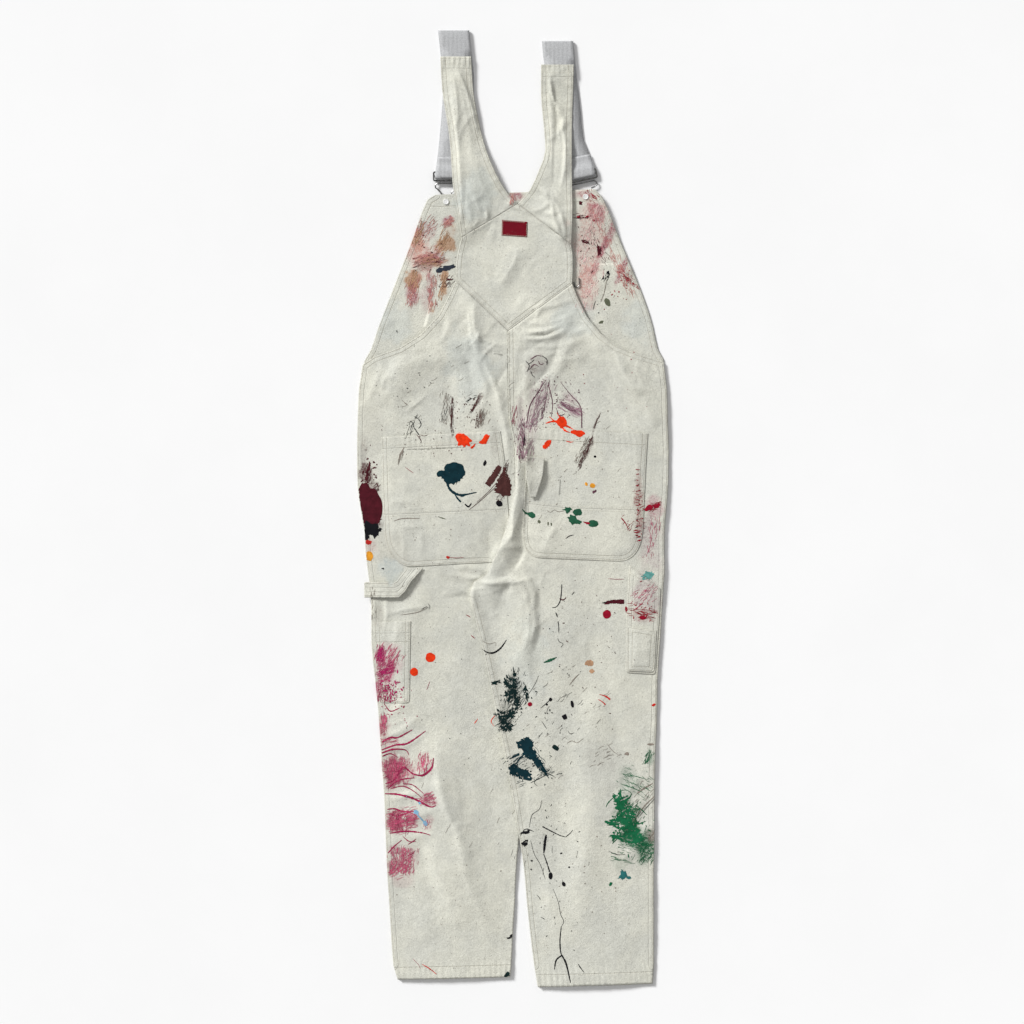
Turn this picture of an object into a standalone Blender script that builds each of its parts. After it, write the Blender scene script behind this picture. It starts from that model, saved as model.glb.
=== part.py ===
"""Paint spattered bib overalls, laid flat on their front with the back up.

The frame is the surface that they lie on: +X to the wearer's right, +Y towards the straps, +Z up,
with the origin under the middle. Sizes in the tables are millimetres, and MM turns them to metres.
Each cloth panel is a grid laid between its sections, lifted by a height function and made a wall.
"""

import math
from collections import namedtuple

import bmesh
import bpy
import numpy as np
from mathutils import Matrix, Vector

MM = 0.001
COLLECTION = "paint_spattered_overalls"

# Cloth walls and the clearances between them
CLOTH = 1.2
HEM = 1.8
GAP = 0.3
SEAT = 0.6
HALF_SEAM = 0.15
TABLE_PITCH = 60.0
LEG_PITCH = 34.0
PANEL_PITCH = 24.0
BIB_PITCH = 20.0
POCKET_PITCH = 17.0
SMALL_PITCH = 12.0
LOOP_PITCH = 7.0
SLOPE_PROBE = 2.0

# Air between the front and the back of a leg
PUFF = 2.5
PUFF_WIDTH = 60.0
PUFF_INSET = 5.0
PUFF_TOP = 110.0
PUFF_FADE = 60.0

# Levels of the main seams, up from the middle
WAIST = 215.0
FORK_TOP = 94.0
FORK_FULL = 36.0

# Where the right leg climbs over the left one, and where the two legs part
CLIMB_START = 12.0
CLIMB_WIDTH = 50.0
PARTING = -530.0
PARTING_FADE = 60.0

# Bib fittings
POCKET_LIFT = 1.5
POCKET_MARGIN = 26.0
POCKET_RAMP = 18.0
BUTTON_LIFT = 5.4
BUTTON_FLAT = 32.0
BUTTON_SPREAD = 80.0
BUTTON_OVAL = 0.8
BUTTON_HEAD_RADIUS = 8.5
BUTTON_HEAD = 1.7
BUTTON_EDGE = 0.5
SHANK_RADIUS = 3.0
RIVET_RADIUS = 4.6
RIVET_HEIGHT = 1.3
RIVET_RIM = 1.2
RIVET_EDGE = 0.4
WIRE_RADIUS = 1.1
WIRE_Z = 3.6
HOOK_CLEAR = 1.5
HOOK_PLAY = 1.2
HOOK_EYE_START = 40.0
HOOK_EYE_TURN = 260.0
HOOK_EYE_POINTS = 8
SLIDE_LENGTH = 56.0
SLIDE_HEIGHT = 16.0
SLIDE_BAR = 2.4
SLIDE_CORNER = 3.0
SLIDE_HOLE_CORNER = 0.8
STAPLE_RADIUS = 0.9
TURNED_STEPS = 20

# Straps and their elastic
BIB_TOP = 503.0
STRAP_LEAVES = 500.0
STRAP_BLEND = 30.0
ELASTIC = 1.6
ELASTIC_WIDTH = 50.0
ELASTIC_LOW = 0.8
ELASTIC_HIGH = 3.8
ELASTIC_LOOP = 2.8
ELASTIC_UNDER = 18.0
ELASTIC_SEAM = 6.0
ELASTIC_TURN = 6
ELASTIC_RUNS = 9
ELASTIC_END = 31.0
ELASTIC_END_RAMP = 21.0
ELASTIC_END_START = 9.0
ELASTIC_END_Z = 3.0
ELASTIC_CLEAR = 14.0
SWING_START = 60.0
SWING_WIDTH = 36.0

# Pieces sewn on a panel: how far each one's underside is from the standard seat
RIGHT_POCKET_LIFT = 0.9
LOWER_POCKET_LIFT = -0.7
LABEL_LIFT = -0.4
LABEL_THICK = 1.0
TAB_LIFT = 1.0
TAB_BOW = 3.0
TAB_BOW_Y = 46.0
TAB_BOW_WIDTH = 32.0
LOOP_SEAT = 1.6
LOOP_SLACK = 4.0
LOOP_END_X = -237.0
LOOP_END_RAMP = 30.0
LOOP_TOP_Y = -96.0
LOOP_TOP_RAMP = 20.0
LOOP_HEM_X = -200.0

Level = namedtuple("Level", "y outer_left inner_left inner_right outer_right")
Fan = namedtuple("Fan", "outer_x outer_y inner_y")
Section = namedtuple("Section", "left_x left_y right_x right_y")
Fold = namedtuple("Fold", "x1 y1 x2 y2 half_width height")
Strap = namedtuple("Strap", "side top elastic_top slide_x slide_y slide_turn button_x button_y")
Bend = namedtuple("Bend", "out down")

# Both legs, from under the arms to the hems. The left leg's inner edge runs on under the right leg.
LEVELS = (
    Level(190, -246, -7, -7, 246),
    Level(142, -248, -5, -5, 247),
    Level(94, -249, 4, 4, 249),
    Level(36, -248, 4, 4, 248),
    Level(-1, -243, 15, -3, 245),
    Level(-38, -237, 30, -13, 242),
    Level(-74, -235, 48, -27, 242),
    Level(-106, -231, 63, -42, 242),
    Level(-118, -229, 68, -62, 241),
    Level(-136, -227, 73, -69, 240),
    Level(-164, -226, 75, -63, 238),
    Level(-215, -226, 67, -50, 235),
    Level(-274, -220, 56, -37, 231),
    Level(-338, -214, 44, -24, 230),
    Level(-400, -210, 33, -11, 227),
    Level(-473, -205, 20, 2, 226),
    Level(-530, -203, 9, 11, 226),
    Level(-578, -201, 5, 18, 225),
    Level(-626, -198, 3, 22, 225),
    Level(-674, -195, 0, 27, 225),
    Level(-730, -191, -3, 34, 225),
)
HEM_LEFT = Section(-184, -753, -5, -749)
HEM_RIGHT = Section(40, -765, 223, -760)

# The back panels above the legs: each section runs from the armhole edge to the centre back seam.
LEFT_FAN = (
    Fan(-91.4, 363.6, 283.6),
    Fan(-103, 338, 268),
    Fan(-119, 308, 254),
    Fan(-147, 278, 243),
    Fan(-180, 257, 232),
    Fan(-222, 242, 222),
    Fan(-240, 230, 210),
)
RIGHT_FAN = (
    Fan(94.4, 358.6, 283.6),
    Fan(104, 335, 268),
    Fan(118, 306, 254),
    Fan(141, 278, 243),
    Fan(166, 259, 232),
    Fan(200, 246, 222),
    Fan(241, 234, 210),
)

# The yoke has a middle column: left side, middle, right side.
YOKE = (
    ((-82, 432.6), (8, 486.6), (93, 420.6)),
    ((-87, 413), (5, 430), (95.5, 402)),
    ((-90.5, 390), (-1, 357), (95.5, 380)),
    ((-91.4, 364.2), (-7.6, 284.2), (94.4, 359.2)),
)

BIB = (
    Section(-124, 501, 131, 510),
    Section(-136, 494, 142, 498),
    Section(-145, 474, 152, 476),
    Section(-158, 436, 168, 436),
    Section(-176, 390, 187, 390),
    Section(-198, 334, 210, 334),
    Section(-215, 290, 224, 290),
    Section(-227, 254, 232, 254),
    Section(-237, 237, 241, 238),
    Section(-242, 215.3, 243, 215.3),
)
BIB_POCKET = (Section(-136, 375, 150, 376), Section(-109, 262, 128, 262))

STRAP_LEFT = (
    Section(-116, 722, -67, 722),
    Section(-113, 670, -64, 672),
    Section(-103, 606, -52, 606),
    Section(-99, 567, -42, 570),
    Section(-96, 519, -27, 534),
    Section(-89, 478, -9, 504),
    Section(-82.1, 433.2, 7.6, 487.2),
)
STRAP_RIGHT = (
    Section(45, 709, 97, 709),
    Section(45, 664, 96, 664),
    Section(50, 607, 94, 607),
    Section(52, 573, 94, 573),
    Section(42, 541, 94, 532),
    Section(28, 510, 95, 478),
    Section(8.4, 487.2, 93.1, 421.2),
)
STRAPS = (
    Strap("left", 722, 765, -100, 531, 0.0, -107, 490),
    Strap("right", 709, 748, 107, 531, 12.0, 116, 498),
)
# Middle line of the elastic that runs back under each strap: level, and place across
RETURN_LEFT = ((765, -95), (673, -87), (622, -90), (560, -96), (531, -100))
RETURN_RIGHT = ((748, 71), (681, 78), (640, 83), (590, 88), (560, 99), (540, 105), (531, 107))

# Height of a strap above the surface, by its level, where it is clear of the bib
STRAP_RISE = ((500, 5.0), (515, 8.0), (548, 8.0), (566, 5.2), (594, 2.4))
STRAP_END_RISE = ((-46, 2.4), (-20, 5.0), (0, 5.0))

POCKET_BACK_LEFT = (
    Section(-210, 114, -20, 124),
    Section(-209, 70, -13, 76),
    Section(-208, 28, -8, 28),
    Section(-206, -18, -14, -20),
    Section(-204, -56, -24, -52),
    Section(-194, -80, -33, -76),
    Section(-172, -94, -38, -86),
)
POCKET_BACK_RIGHT = (
    Section(23, 130, 216, 120),
    Section(21, 80, 213, 70),
    Section(18, 20, 210, 8),
    Section(15, -40, 207, -50),
    Section(17, -66, 198, -74),
    Section(32, -79, 180, -85),
)
UTILITY_LEFT = (
    Section(-222, -181, -163, -180),
    Section(-219, -245, -164, -245),
    Section(-214, -311, -165, -311),
)
UTILITY_RIGHT = (
    Section(186, -91, 236, -128),
    Section(183, -140, 235, -163),
    Section(181, -200, 232, -208),
    Section(180, -263, 228, -266),
)
UTILITY_RIGHT_LOWER = (Section(183, -188, 230, -196), Section(182, -260, 226, -262))
HAMMER_LOOP = (
    Section(-170, -96, -144, -96),
    Section(-181, -110, -163, -118),
    Section(-191, -119, -182, -142),
    Section(-213, -118, -210, -142),
    Section(-237, -118, -237, -142),
)
TOOL_TAB = (
    Section(20, 83, 50, 80),
    Section(20, 57, 48, 56),
    Section(27, 18, 36, 18),
)
LABEL = (Section(-17.5, 461, 23, 458), Section(-18, 436.5, 22.5, 433.5))
STAPLE = ((105.5, 369), (106, 357), (103.5, 354), (100, 354), (98, 357), (97.5, 362))

# The wire hook, out from its middle line and down from the slide: its wide end, then its neck
HOOK_SIDE = (Bend(21, 0), Bend(24, 3), Bend(24, 7), Bend(20, 10))
HOOK_NECK = (Bend(12, 11), Bend(9, 14))

# The largest folds of the back, as ridges from one end to the other
FOLDS = (
    Fold(-69, 334, -60, 292, 26, 3.0),
    Fold(-82, 262, -53, 176, 30, 3.5),
    Fold(-53, 176, -24, 128, 26, 3.0),
    Fold(-157, 240, -190, 188, 32, 4.0),
    Fold(20, 322, 98, 264, 30, 3.5),
    Fold(142, 256, 198, 188, 34, 4.0),
    Fold(198, 188, 226, 140, 28, 3.0),
    Fold(-10, 104, -12, 44, 40, 2.0),
    Fold(12, 416, -18, 362, 20, 3.0),
    Fold(70, 476, 84, 428, 20, 3.0),
    Fold(48, 520, 70, 476, 20, 3.5),
    Fold(-92, 690, -64, 546, 20, 2.5),
    Fold(-78, 520, -58, 462, 26, 3.0),
    Fold(-120, -395, -88, -640, 46, 4.0),
    Fold(-172, -170, -150, -330, 36, 3.0),
)
# Ridges that only the right panel has, along the seat seam and down the thigh
RIGHT_FOLDS = (
    Fold(18, 112, 12, 30, 22, 6.0),
    Fold(12, 30, -5, -50, 22, 7.0),
    Fold(-5, -50, -38, -132, 28, 9.0),
    Fold(8, -120, 16, -245, 28, 5.0),
    Fold(128, -330, 112, -640, 46, 4.0),
)

COLOURS = {
    "drill": ((0.64, 0.62, 0.54), 0.92, 0.0),
    "elastic": ((0.40, 0.41, 0.41), 0.85, 0.0),
    "label": ((0.28, 0.01, 0.03), 0.8, 0.0),
    "nickel": ((0.62, 0.61, 0.57), 0.3, 1.0),
}


class Curve:
    """A smooth line through (x, y) points that never overshoots them."""

    def __init__(self, points):
        ordered = np.array(sorted(points), float)
        self.x, self.y = ordered[:, 0], ordered[:, 1]
        run = np.diff(self.x)
        rise = np.diff(self.y) / run
        self.slope = np.zeros(len(self.x))
        for i in range(1, len(self.x) - 1):
            before, after = rise[i - 1], rise[i]
            if before * after > 0:
                near, far = 2 * run[i] + run[i - 1], run[i] + 2 * run[i - 1]
                self.slope[i] = (near + far) / (near / before + far / after)
        self.slope[0], self.slope[-1] = rise[0], rise[-1]

    def __call__(self, x):
        x = min(max(x, self.x[0]), self.x[-1])
        i = min(int(np.searchsorted(self.x, x, side="right")) - 1, len(self.x) - 2)
        run = self.x[i + 1] - self.x[i]
        t = (x - self.x[i]) / run
        start = (1 + 2 * t) * (1 - t) ** 2 * self.y[i]
        end = t * t * (3 - 2 * t) * self.y[i + 1]
        turn = t * (1 - t) ** 2 * self.slope[i] - t * t * (1 - t) * self.slope[i + 1]
        return start + end + run * turn


def step(t):
    """0 up to t = 0, 1 from t = 1, and smooth between them."""
    t = min(max(t, 0.0), 1.0)
    return t * t * (3 - 2 * t)


def bell(distance, half_width):
    if distance >= half_width:
        return 0.0
    return 0.5 + 0.5 * math.cos(math.pi * distance / half_width)


def rise_of(folds, x, y):
    """Height of the highest fold at (x, y)."""
    highest = 0.0
    for fold in folds:
        along_x, along_y = fold.x2 - fold.x1, fold.y2 - fold.y1
        length = along_x**2 + along_y**2
        t = ((x - fold.x1) * along_x + (y - fold.y1) * along_y) / length
        t = min(max(t, 0.0), 1.0)
        away = math.hypot(x - fold.x1 - t * along_x, y - fold.y1 - t * along_y)
        highest = max(highest, fold.height * bell(away, fold.half_width))
    return highest


OUTER_LEFT = Curve([(level.y, level.outer_left) for level in LEVELS])
INNER_LEFT = Curve([(level.y, level.inner_left) for level in LEVELS])
INNER_RIGHT = Curve([(level.y, level.inner_right) for level in LEVELS])
OUTER_RIGHT = Curve([(level.y, level.outer_right) for level in LEVELS])
CENTRE_BACK = Curve([(284, -8), (190, -7)])


def pocket_share(x, y):
    """How far the bib is lifted at (x, y) by its pocket, which lies under it: 0 to 1."""
    top, bottom = BIB_POCKET
    t = min(max((top.left_y - y) / (top.left_y - bottom.left_y), 0.0), 1.0)
    left = top.left_x + t * (bottom.left_x - top.left_x)
    right = top.right_x + t * (bottom.right_x - top.right_x)
    outside = max(left - x, x - right, y - top.right_y, bottom.left_y - y, 0.0)
    return 1 - step((outside - POCKET_MARGIN) / POCKET_RAMP)


def bib_z(x, y):
    """Underside of the bib: on the surface, over its pocket, and over the buttons at its top."""
    lift = POCKET_LIFT * pocket_share(x, y)
    for strap in STRAPS:
        away = math.hypot(x - strap.button_x, BUTTON_OVAL * (y - strap.button_y))
        near = 1 - step((away - BUTTON_FLAT) / (BUTTON_SPREAD - BUTTON_FLAT))
        lift = max(lift, BUTTON_LIFT * near)
    return lift


def puff(from_side, from_inside, y):
    """Air in a leg: none at its side seam, nor at its inner edge below the fork."""
    inside = 1 - step((PUFF_TOP - y) / PUFF_FADE) * (1 - step(from_inside / PUFF_WIDTH))
    return PUFF * step(from_side / PUFF_WIDTH) * inside


def body_z(x, y):
    """Underside of the yoke and the upper back, on the bib."""
    return bib_z(x, y) + HEM + GAP + PUFF + rise_of(FOLDS, x, y)


def back_left_z(x, y):
    below = bib_z(x, y) if y > WAIST else 0.0
    inner = min(INNER_LEFT(y), INNER_RIGHT(y))
    air = puff(x - OUTER_LEFT(y), inner - PUFF_INSET - x, y)
    return below + HEM + GAP + air + rise_of(FOLDS, x, y)


def front_right_z(x, y):
    """Underside of the right leg's front: on the surface, and over the left leg beside the fork."""
    level = step((FORK_TOP - y) / (FORK_TOP - FORK_FULL))
    share = 1 - step((x - INNER_LEFT(y) - CLIMB_START) / CLIMB_WIDTH)
    parted = 1 - step((PARTING - y) / PARTING_FADE)
    if level * share * parted == 0.0:
        return 0.0
    return level * share * parted * (back_left_z(x, y) + HEM + SEAT)


def back_right_z(x, y):
    below = bib_z(x, y) if y > WAIST else front_right_z(x, y)
    air = puff(OUTER_RIGHT(y) - x, x - INNER_RIGHT(y), y)
    return below + HEM + GAP + air + rise_of(FOLDS + RIGHT_FOLDS, x, y)


def strap_z(strap):
    rise = Curve(
        STRAP_RISE + tuple((strap.top + level, height) for level, height in STRAP_END_RISE)
    )

    def height(x, y):
        on_bib = bib_z(x, min(y, BIB_TOP)) + HEM + GAP + PUFF
        share = step((y - STRAP_LEAVES) / STRAP_BLEND)
        return (1 - share) * on_bib + share * rise(y) + rise_of(FOLDS, x, y)

    return height


def over(panel_z, walls, lift=0.0):
    """Underside of a piece that lies on a panel with this many walls under it."""

    def height(x, y):
        z = panel_z(x, y)
        slope_x = (panel_z(x + SLOPE_PROBE, y) - z) / SLOPE_PROBE
        slope_y = (panel_z(x, y + SLOPE_PROBE) - z) / SLOPE_PROBE
        return z + walls * (HEM + SEAT) * math.hypot(1, slope_x, slope_y) + lift

    return height


def even(count):
    return [i / count for i in range(count + 1)]


def crowded(count, power, from_right=False):
    """Columns that stand closer together near one edge."""
    shares = [(i / count) ** power for i in range(count + 1)]
    return sorted(1 - share for share in shares) if from_right else shares


def columns_of(sections, shares):
    """Control sections with every column's point, straight between the section's own points."""
    rows = []
    for section in sections:
        points = np.array(section, float).reshape(-1, 2)
        parts = len(points) - 1
        row = []
        for share in shares:
            i = min(int(share * parts), parts - 1)
            t = share * parts - i
            row.append((1 - t) * points[i] + t * points[i + 1])
        rows.append(row)
    return np.array(rows)


def grid_of(sections, shares, pitch):
    """Rows of (x, y) from the first section to the last, smooth between them."""
    controls = columns_of(sections, shares)
    places = [0.0]
    for before, after in zip(controls[:-1], controls[1:]):
        run = np.linalg.norm(after - before, axis=1).mean()
        drop = abs((after - before)[:, 1].mean())
        count = max(1, round(max(drop, 0.5 * run) / pitch))
        start = places[-1]
        places += [start + (i + 1) / count for i in range(count)]
    grid = np.zeros((len(places), len(shares), 2))
    for column in range(len(shares)):
        for axis in range(2):
            line = Curve(list(enumerate(controls[:, column, axis])))
            grid[:, column, axis] = [line(place) for place in places]
    return grid


def link(obj, colour):
    """Puts the object in the garment's collection, with its own material."""
    rgb, roughness, metallic = COLOURS[colour]
    material = bpy.data.materials.new(obj.name)
    material.use_nodes = True
    shader = material.node_tree.nodes["Principled BSDF"]
    shader.inputs["Base Color"].default_value = (*rgb, 1)
    shader.inputs["Roughness"].default_value = roughness
    shader.inputs["Metallic"].default_value = metallic
    obj.data.materials.clear()
    obj.data.materials.append(material)
    bpy.data.collections[COLLECTION].objects.link(obj)
    return obj


def wall(name, points, colour, thickness, hem_edges="", offset=1.0):
    """A solid wall on a grid of (x, y, z) rows, thicker along the edges that have a hem.

    hem_edges holds letters: t for the first row, b for the last, l and r for the sides.
    """
    rows, columns = points.shape[:2]
    mesh = bpy.data.meshes.new(name)
    grid = bmesh.new()
    bmesh.ops.create_grid(grid, x_segments=columns - 1, y_segments=rows - 1, size=1)
    grid.verts.ensure_lookup_table()
    for vertex in grid.verts:
        row, column = divmod(vertex.index, columns)
        vertex.co = points[rows - 1 - row, column] * MM
    grid.to_mesh(mesh)
    grid.free()
    mesh.shade_smooth()
    obj = link(bpy.data.objects.new(name, mesh), colour)
    hem = obj.vertex_groups.new(name="hem")
    edges = {"t": rows - 1, "b": 0}
    chosen = [edges[letter] for letter in hem_edges if letter in edges]
    sides = {"l": 0, "r": columns - 1}
    ends = [sides[letter] for letter in hem_edges if letter in sides]
    for index in range(rows * columns):
        row, column = divmod(index, columns)
        if row in chosen or column in ends:
            hem.add([index], 1.0, "REPLACE")
    solid = obj.modifiers.new("Wall", "SOLIDIFY")
    solid.thickness = (HEM if hem_edges else thickness) * MM
    solid.offset = offset
    if hem_edges:
        solid.vertex_group = "hem"
        solid.thickness_vertex_group = thickness / HEM
    return obj


def cloth(name, sections, shares, height, hem_edges, pitch, thickness=CLOTH, colour="drill"):
    """A panel of cloth between its sections, at the height that the function gives."""
    grid = grid_of(sections, shares, pitch)
    points = np.zeros((*grid.shape[:2], 3))
    points[..., :2] = grid
    for row in points:
        for point in row:
            point[2] = height(point[0], point[1])
    return wall(name, points, colour, thickness, hem_edges)


def leg_sections(fan, side, hem, seam):
    """Sections of a back panel: the fan above the legs, the levels, then the hem."""
    sections = []
    for row in fan:
        inner_x = CENTRE_BACK(row.inner_y) + seam
        outer, inner = (row.outer_x, row.outer_y), (inner_x, row.inner_y)
        sections.append((*outer, *inner) if side == "left" else (*inner, *outer))
    for level in LEVELS:
        if side == "left":
            sections.append((level.outer_left, level.y, level.inner_left + seam, level.y))
        else:
            sections.append((level.inner_right + seam, level.y, level.outer_right, level.y))
    return sections + [tuple(hem)]


def front_sections(side, hem, seam):
    """Sections of a front leg: straight across at the waist, then as the back panel."""
    top = (-242, WAIST, -7 + seam, WAIST) if side == "left" else (-7 + seam, WAIST, 243, WAIST)
    return [top] + leg_sections((), side, hem, seam)


def on_surface(x, y):
    """Underside of a piece that lies on the surface."""
    return 0.0


def loop_z(x, y):
    """Underside of the hammer loop: seated at its two sewn ends, slack between them."""
    inside = max(x, OUTER_LEFT(y) + 1)
    seat = LOOP_SEAT + SEAT * step((LOOP_HEM_X - x) / LOOP_END_RAMP)
    from_end = step((x - LOOP_END_X) / LOOP_END_RAMP)
    from_top = step((LOOP_TOP_Y - y) / LOOP_TOP_RAMP)
    return back_left_z(inside, y) + seat + LOOP_SLACK * from_end * from_top


def tab_z(x, y):
    """Underside of the tool tab: on the pocket, and bowed up in its middle."""
    bow = TAB_BOW * bell(abs(y - TAB_BOW_Y), TAB_BOW_WIDTH)
    return over(back_right_z, 2, TAB_LIFT)(x, y) + bow


def make_panels():
    cloth("front_leg_left", front_sections("left", HEM_LEFT, -HALF_SEAM), even(5),
          on_surface, "blr", TABLE_PITCH)
    cloth("front_leg_right", front_sections("right", HEM_RIGHT, HALF_SEAM), crowded(10, 1.2),
          front_right_z, "blr", LEG_PITCH)
    cloth("back_left", leg_sections(LEFT_FAN, "left", HEM_LEFT, -HALF_SEAM),
          crowded(12, 1.2, from_right=True), back_left_z, "bl", PANEL_PITCH)
    cloth("back_right", leg_sections(RIGHT_FAN, "right", HEM_RIGHT, HALF_SEAM),
          crowded(14, 1.4), back_right_z, "br", PANEL_PITCH)
    cloth("back_yoke", YOKE, even(12), body_z, "lr", SMALL_PITCH)
    cloth("front_bib", BIB, even(18), bib_z, "tlr", BIB_PITCH)
    cloth("bib_pocket", BIB_POCKET, even(4), on_surface, "", TABLE_PITCH)
    for strap, sections in zip(STRAPS, (STRAP_LEFT, STRAP_RIGHT)):
        cloth(f"strap_{strap.side}", sections, even(5), strap_z(strap), "t", POCKET_PITCH)


def make_overlays():
    """Pieces that are sewn on top of a panel."""
    cloth("back_pocket_left", POCKET_BACK_LEFT, even(10), over(back_left_z, 1), "t", BIB_PITCH)
    cloth("back_pocket_right", POCKET_BACK_RIGHT, crowded(12, 1.4),
          over(back_right_z, 1, RIGHT_POCKET_LIFT), "t", POCKET_PITCH)
    cloth("utility_pocket_left", UTILITY_LEFT, even(3), over(back_left_z, 1), "t", BIB_PITCH)
    cloth("utility_pocket_right", UTILITY_RIGHT, even(3), over(back_right_z, 1), "t", BIB_PITCH)
    cloth("utility_pocket_right_lower", UTILITY_RIGHT_LOWER, even(3),
          over(back_right_z, 2, LOWER_POCKET_LIFT), "t", BIB_PITCH)
    cloth("hammer_loop", HAMMER_LOOP, even(2), loop_z, "", LOOP_PITCH, thickness=HEM)
    cloth("tool_tab", TOOL_TAB, even(3), tab_z, "", SMALL_PITCH)
    cloth("label", LABEL, even(3), over(body_z, 1, LABEL_LIFT), "", SMALL_PITCH,
          thickness=LABEL_THICK, colour="label")


def make_elastic(strap, middle_line):
    """The wide elastic: under the strap's end, over the top, back beneath, and round the slide."""
    middle = Curve(middle_line)
    fold = (ELASTIC_HIGH - ELASTIC_LOW) / 2
    fold_y = strap.elastic_top - fold - ELASTIC / 2
    line = [
        (strap.top - ELASTIC_UNDER, ELASTIC_HIGH),
        (strap.top + ELASTIC_SEAM, ELASTIC_HIGH),
    ]
    half_turn = [math.pi * i / ELASTIC_TURN for i in range(ELASTIC_TURN + 1)]
    for turn in half_turn:
        line.append((fold_y + fold * math.sin(turn), ELASTIC_LOW + fold * (1 + math.cos(turn))))
    end_y = strap.slide_y
    for i in range(1, ELASTIC_RUNS):
        run = (end_y + ELASTIC_CLEAR - fold_y) * i / ELASTIC_RUNS
        line.append((fold_y + run, ELASTIC_LOW))
    for turn in half_turn:
        across, up = ELASTIC_LOOP * math.sin(turn), ELASTIC_LOOP * (1 - math.cos(turn))
        line.append((end_y - across, WIRE_Z - ELASTIC_LOOP + up))
    line += [
        (end_y + ELASTIC_END_START, WIRE_Z + ELASTIC_LOOP),
        (end_y + ELASTIC_END_RAMP, ELASTIC_END_Z),
        (end_y + ELASTIC_END, ELASTIC_END_Z),
    ]
    turn = math.radians(strap.slide_turn)
    points = np.zeros((len(line), 4, 3))
    for row, (y, z) in zip(points, line):
        near_slide = step((end_y + SWING_START - y) / SWING_WIDTH)
        for column, point in enumerate(row):
            offset = ELASTIC_WIDTH * (column / 3 - 0.5) * math.cos(turn * near_slide)
            lean = math.tan(turn * near_slide) * offset
            point[:] = middle(y) + offset, y + lean, z
    return wall(f"elastic_{strap.side}", points, "elastic", ELASTIC, offset=0.0)


def flat_outline(name, outlines, thickness, colour):
    """A plate cut to closed outlines, the first outside and the others holes."""
    data = bpy.data.curves.new(name, "CURVE")
    data.dimensions = "2D"
    data.fill_mode = "BOTH"
    data.extrude = thickness * MM / 2
    for outline in outlines:
        spline = data.splines.new("POLY")
        spline.points.add(len(outline) - 1)
        for point, (x, y) in zip(spline.points, outline):
            point.co = (x * MM, y * MM, 0, 1)
        spline.use_cyclic_u = True
    return link(bpy.data.objects.new(name, data), colour)


def rounded(width, height, radius, centre_y=0.0, steps=3):
    """A rectangle's outline with round corners."""
    outline = []
    for corner, (side, end) in enumerate(((1, 1), (-1, 1), (-1, -1), (1, -1))):
        for i in range(steps + 1):
            turn = math.pi / 2 * (corner + i / steps)
            x = side * (width / 2 - radius) + radius * math.cos(turn)
            y = end * (height / 2 - radius) + radius * math.sin(turn)
            outline.append((x, y + centre_y))
    return outline


def wire(name, points, radius, colour="nickel", closed=False):
    """A bent wire through (x, y, z) points."""
    data = bpy.data.curves.new(name, "CURVE")
    data.dimensions = "3D"
    data.bevel_depth = radius * MM
    data.bevel_resolution = 2
    data.use_fill_caps = True
    spline = data.splines.new("POLY")
    spline.points.add(len(points) - 1)
    for point, place in zip(spline.points, points):
        point.co = (*(value * MM for value in place), 1)
    spline.use_cyclic_u = closed
    return link(bpy.data.objects.new(name, data), colour)


def turned(name, profile, x, y, z):
    """A round piece from (radius, height) points, centred at (x, y)."""
    mesh = bpy.data.meshes.new(name)
    shape = bmesh.new()
    rings = [shape.verts.new((radius * MM, 0, height * MM)) for radius, height in profile]
    for before, after in zip(rings[:-1], rings[1:]):
        shape.edges.new((before, after))
    shape.to_mesh(mesh)
    shape.free()
    obj = link(bpy.data.objects.new(name, mesh), "nickel")
    obj.location = (x * MM, y * MM, z * MM)
    spin = obj.modifiers.new("Turned", "SCREW")
    spin.steps = TURNED_STEPS
    spin.render_steps = TURNED_STEPS
    spin.screw_offset = 0
    spin.use_merge_vertices = True
    spin.merge_threshold = GAP * MM / 10
    return obj


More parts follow.
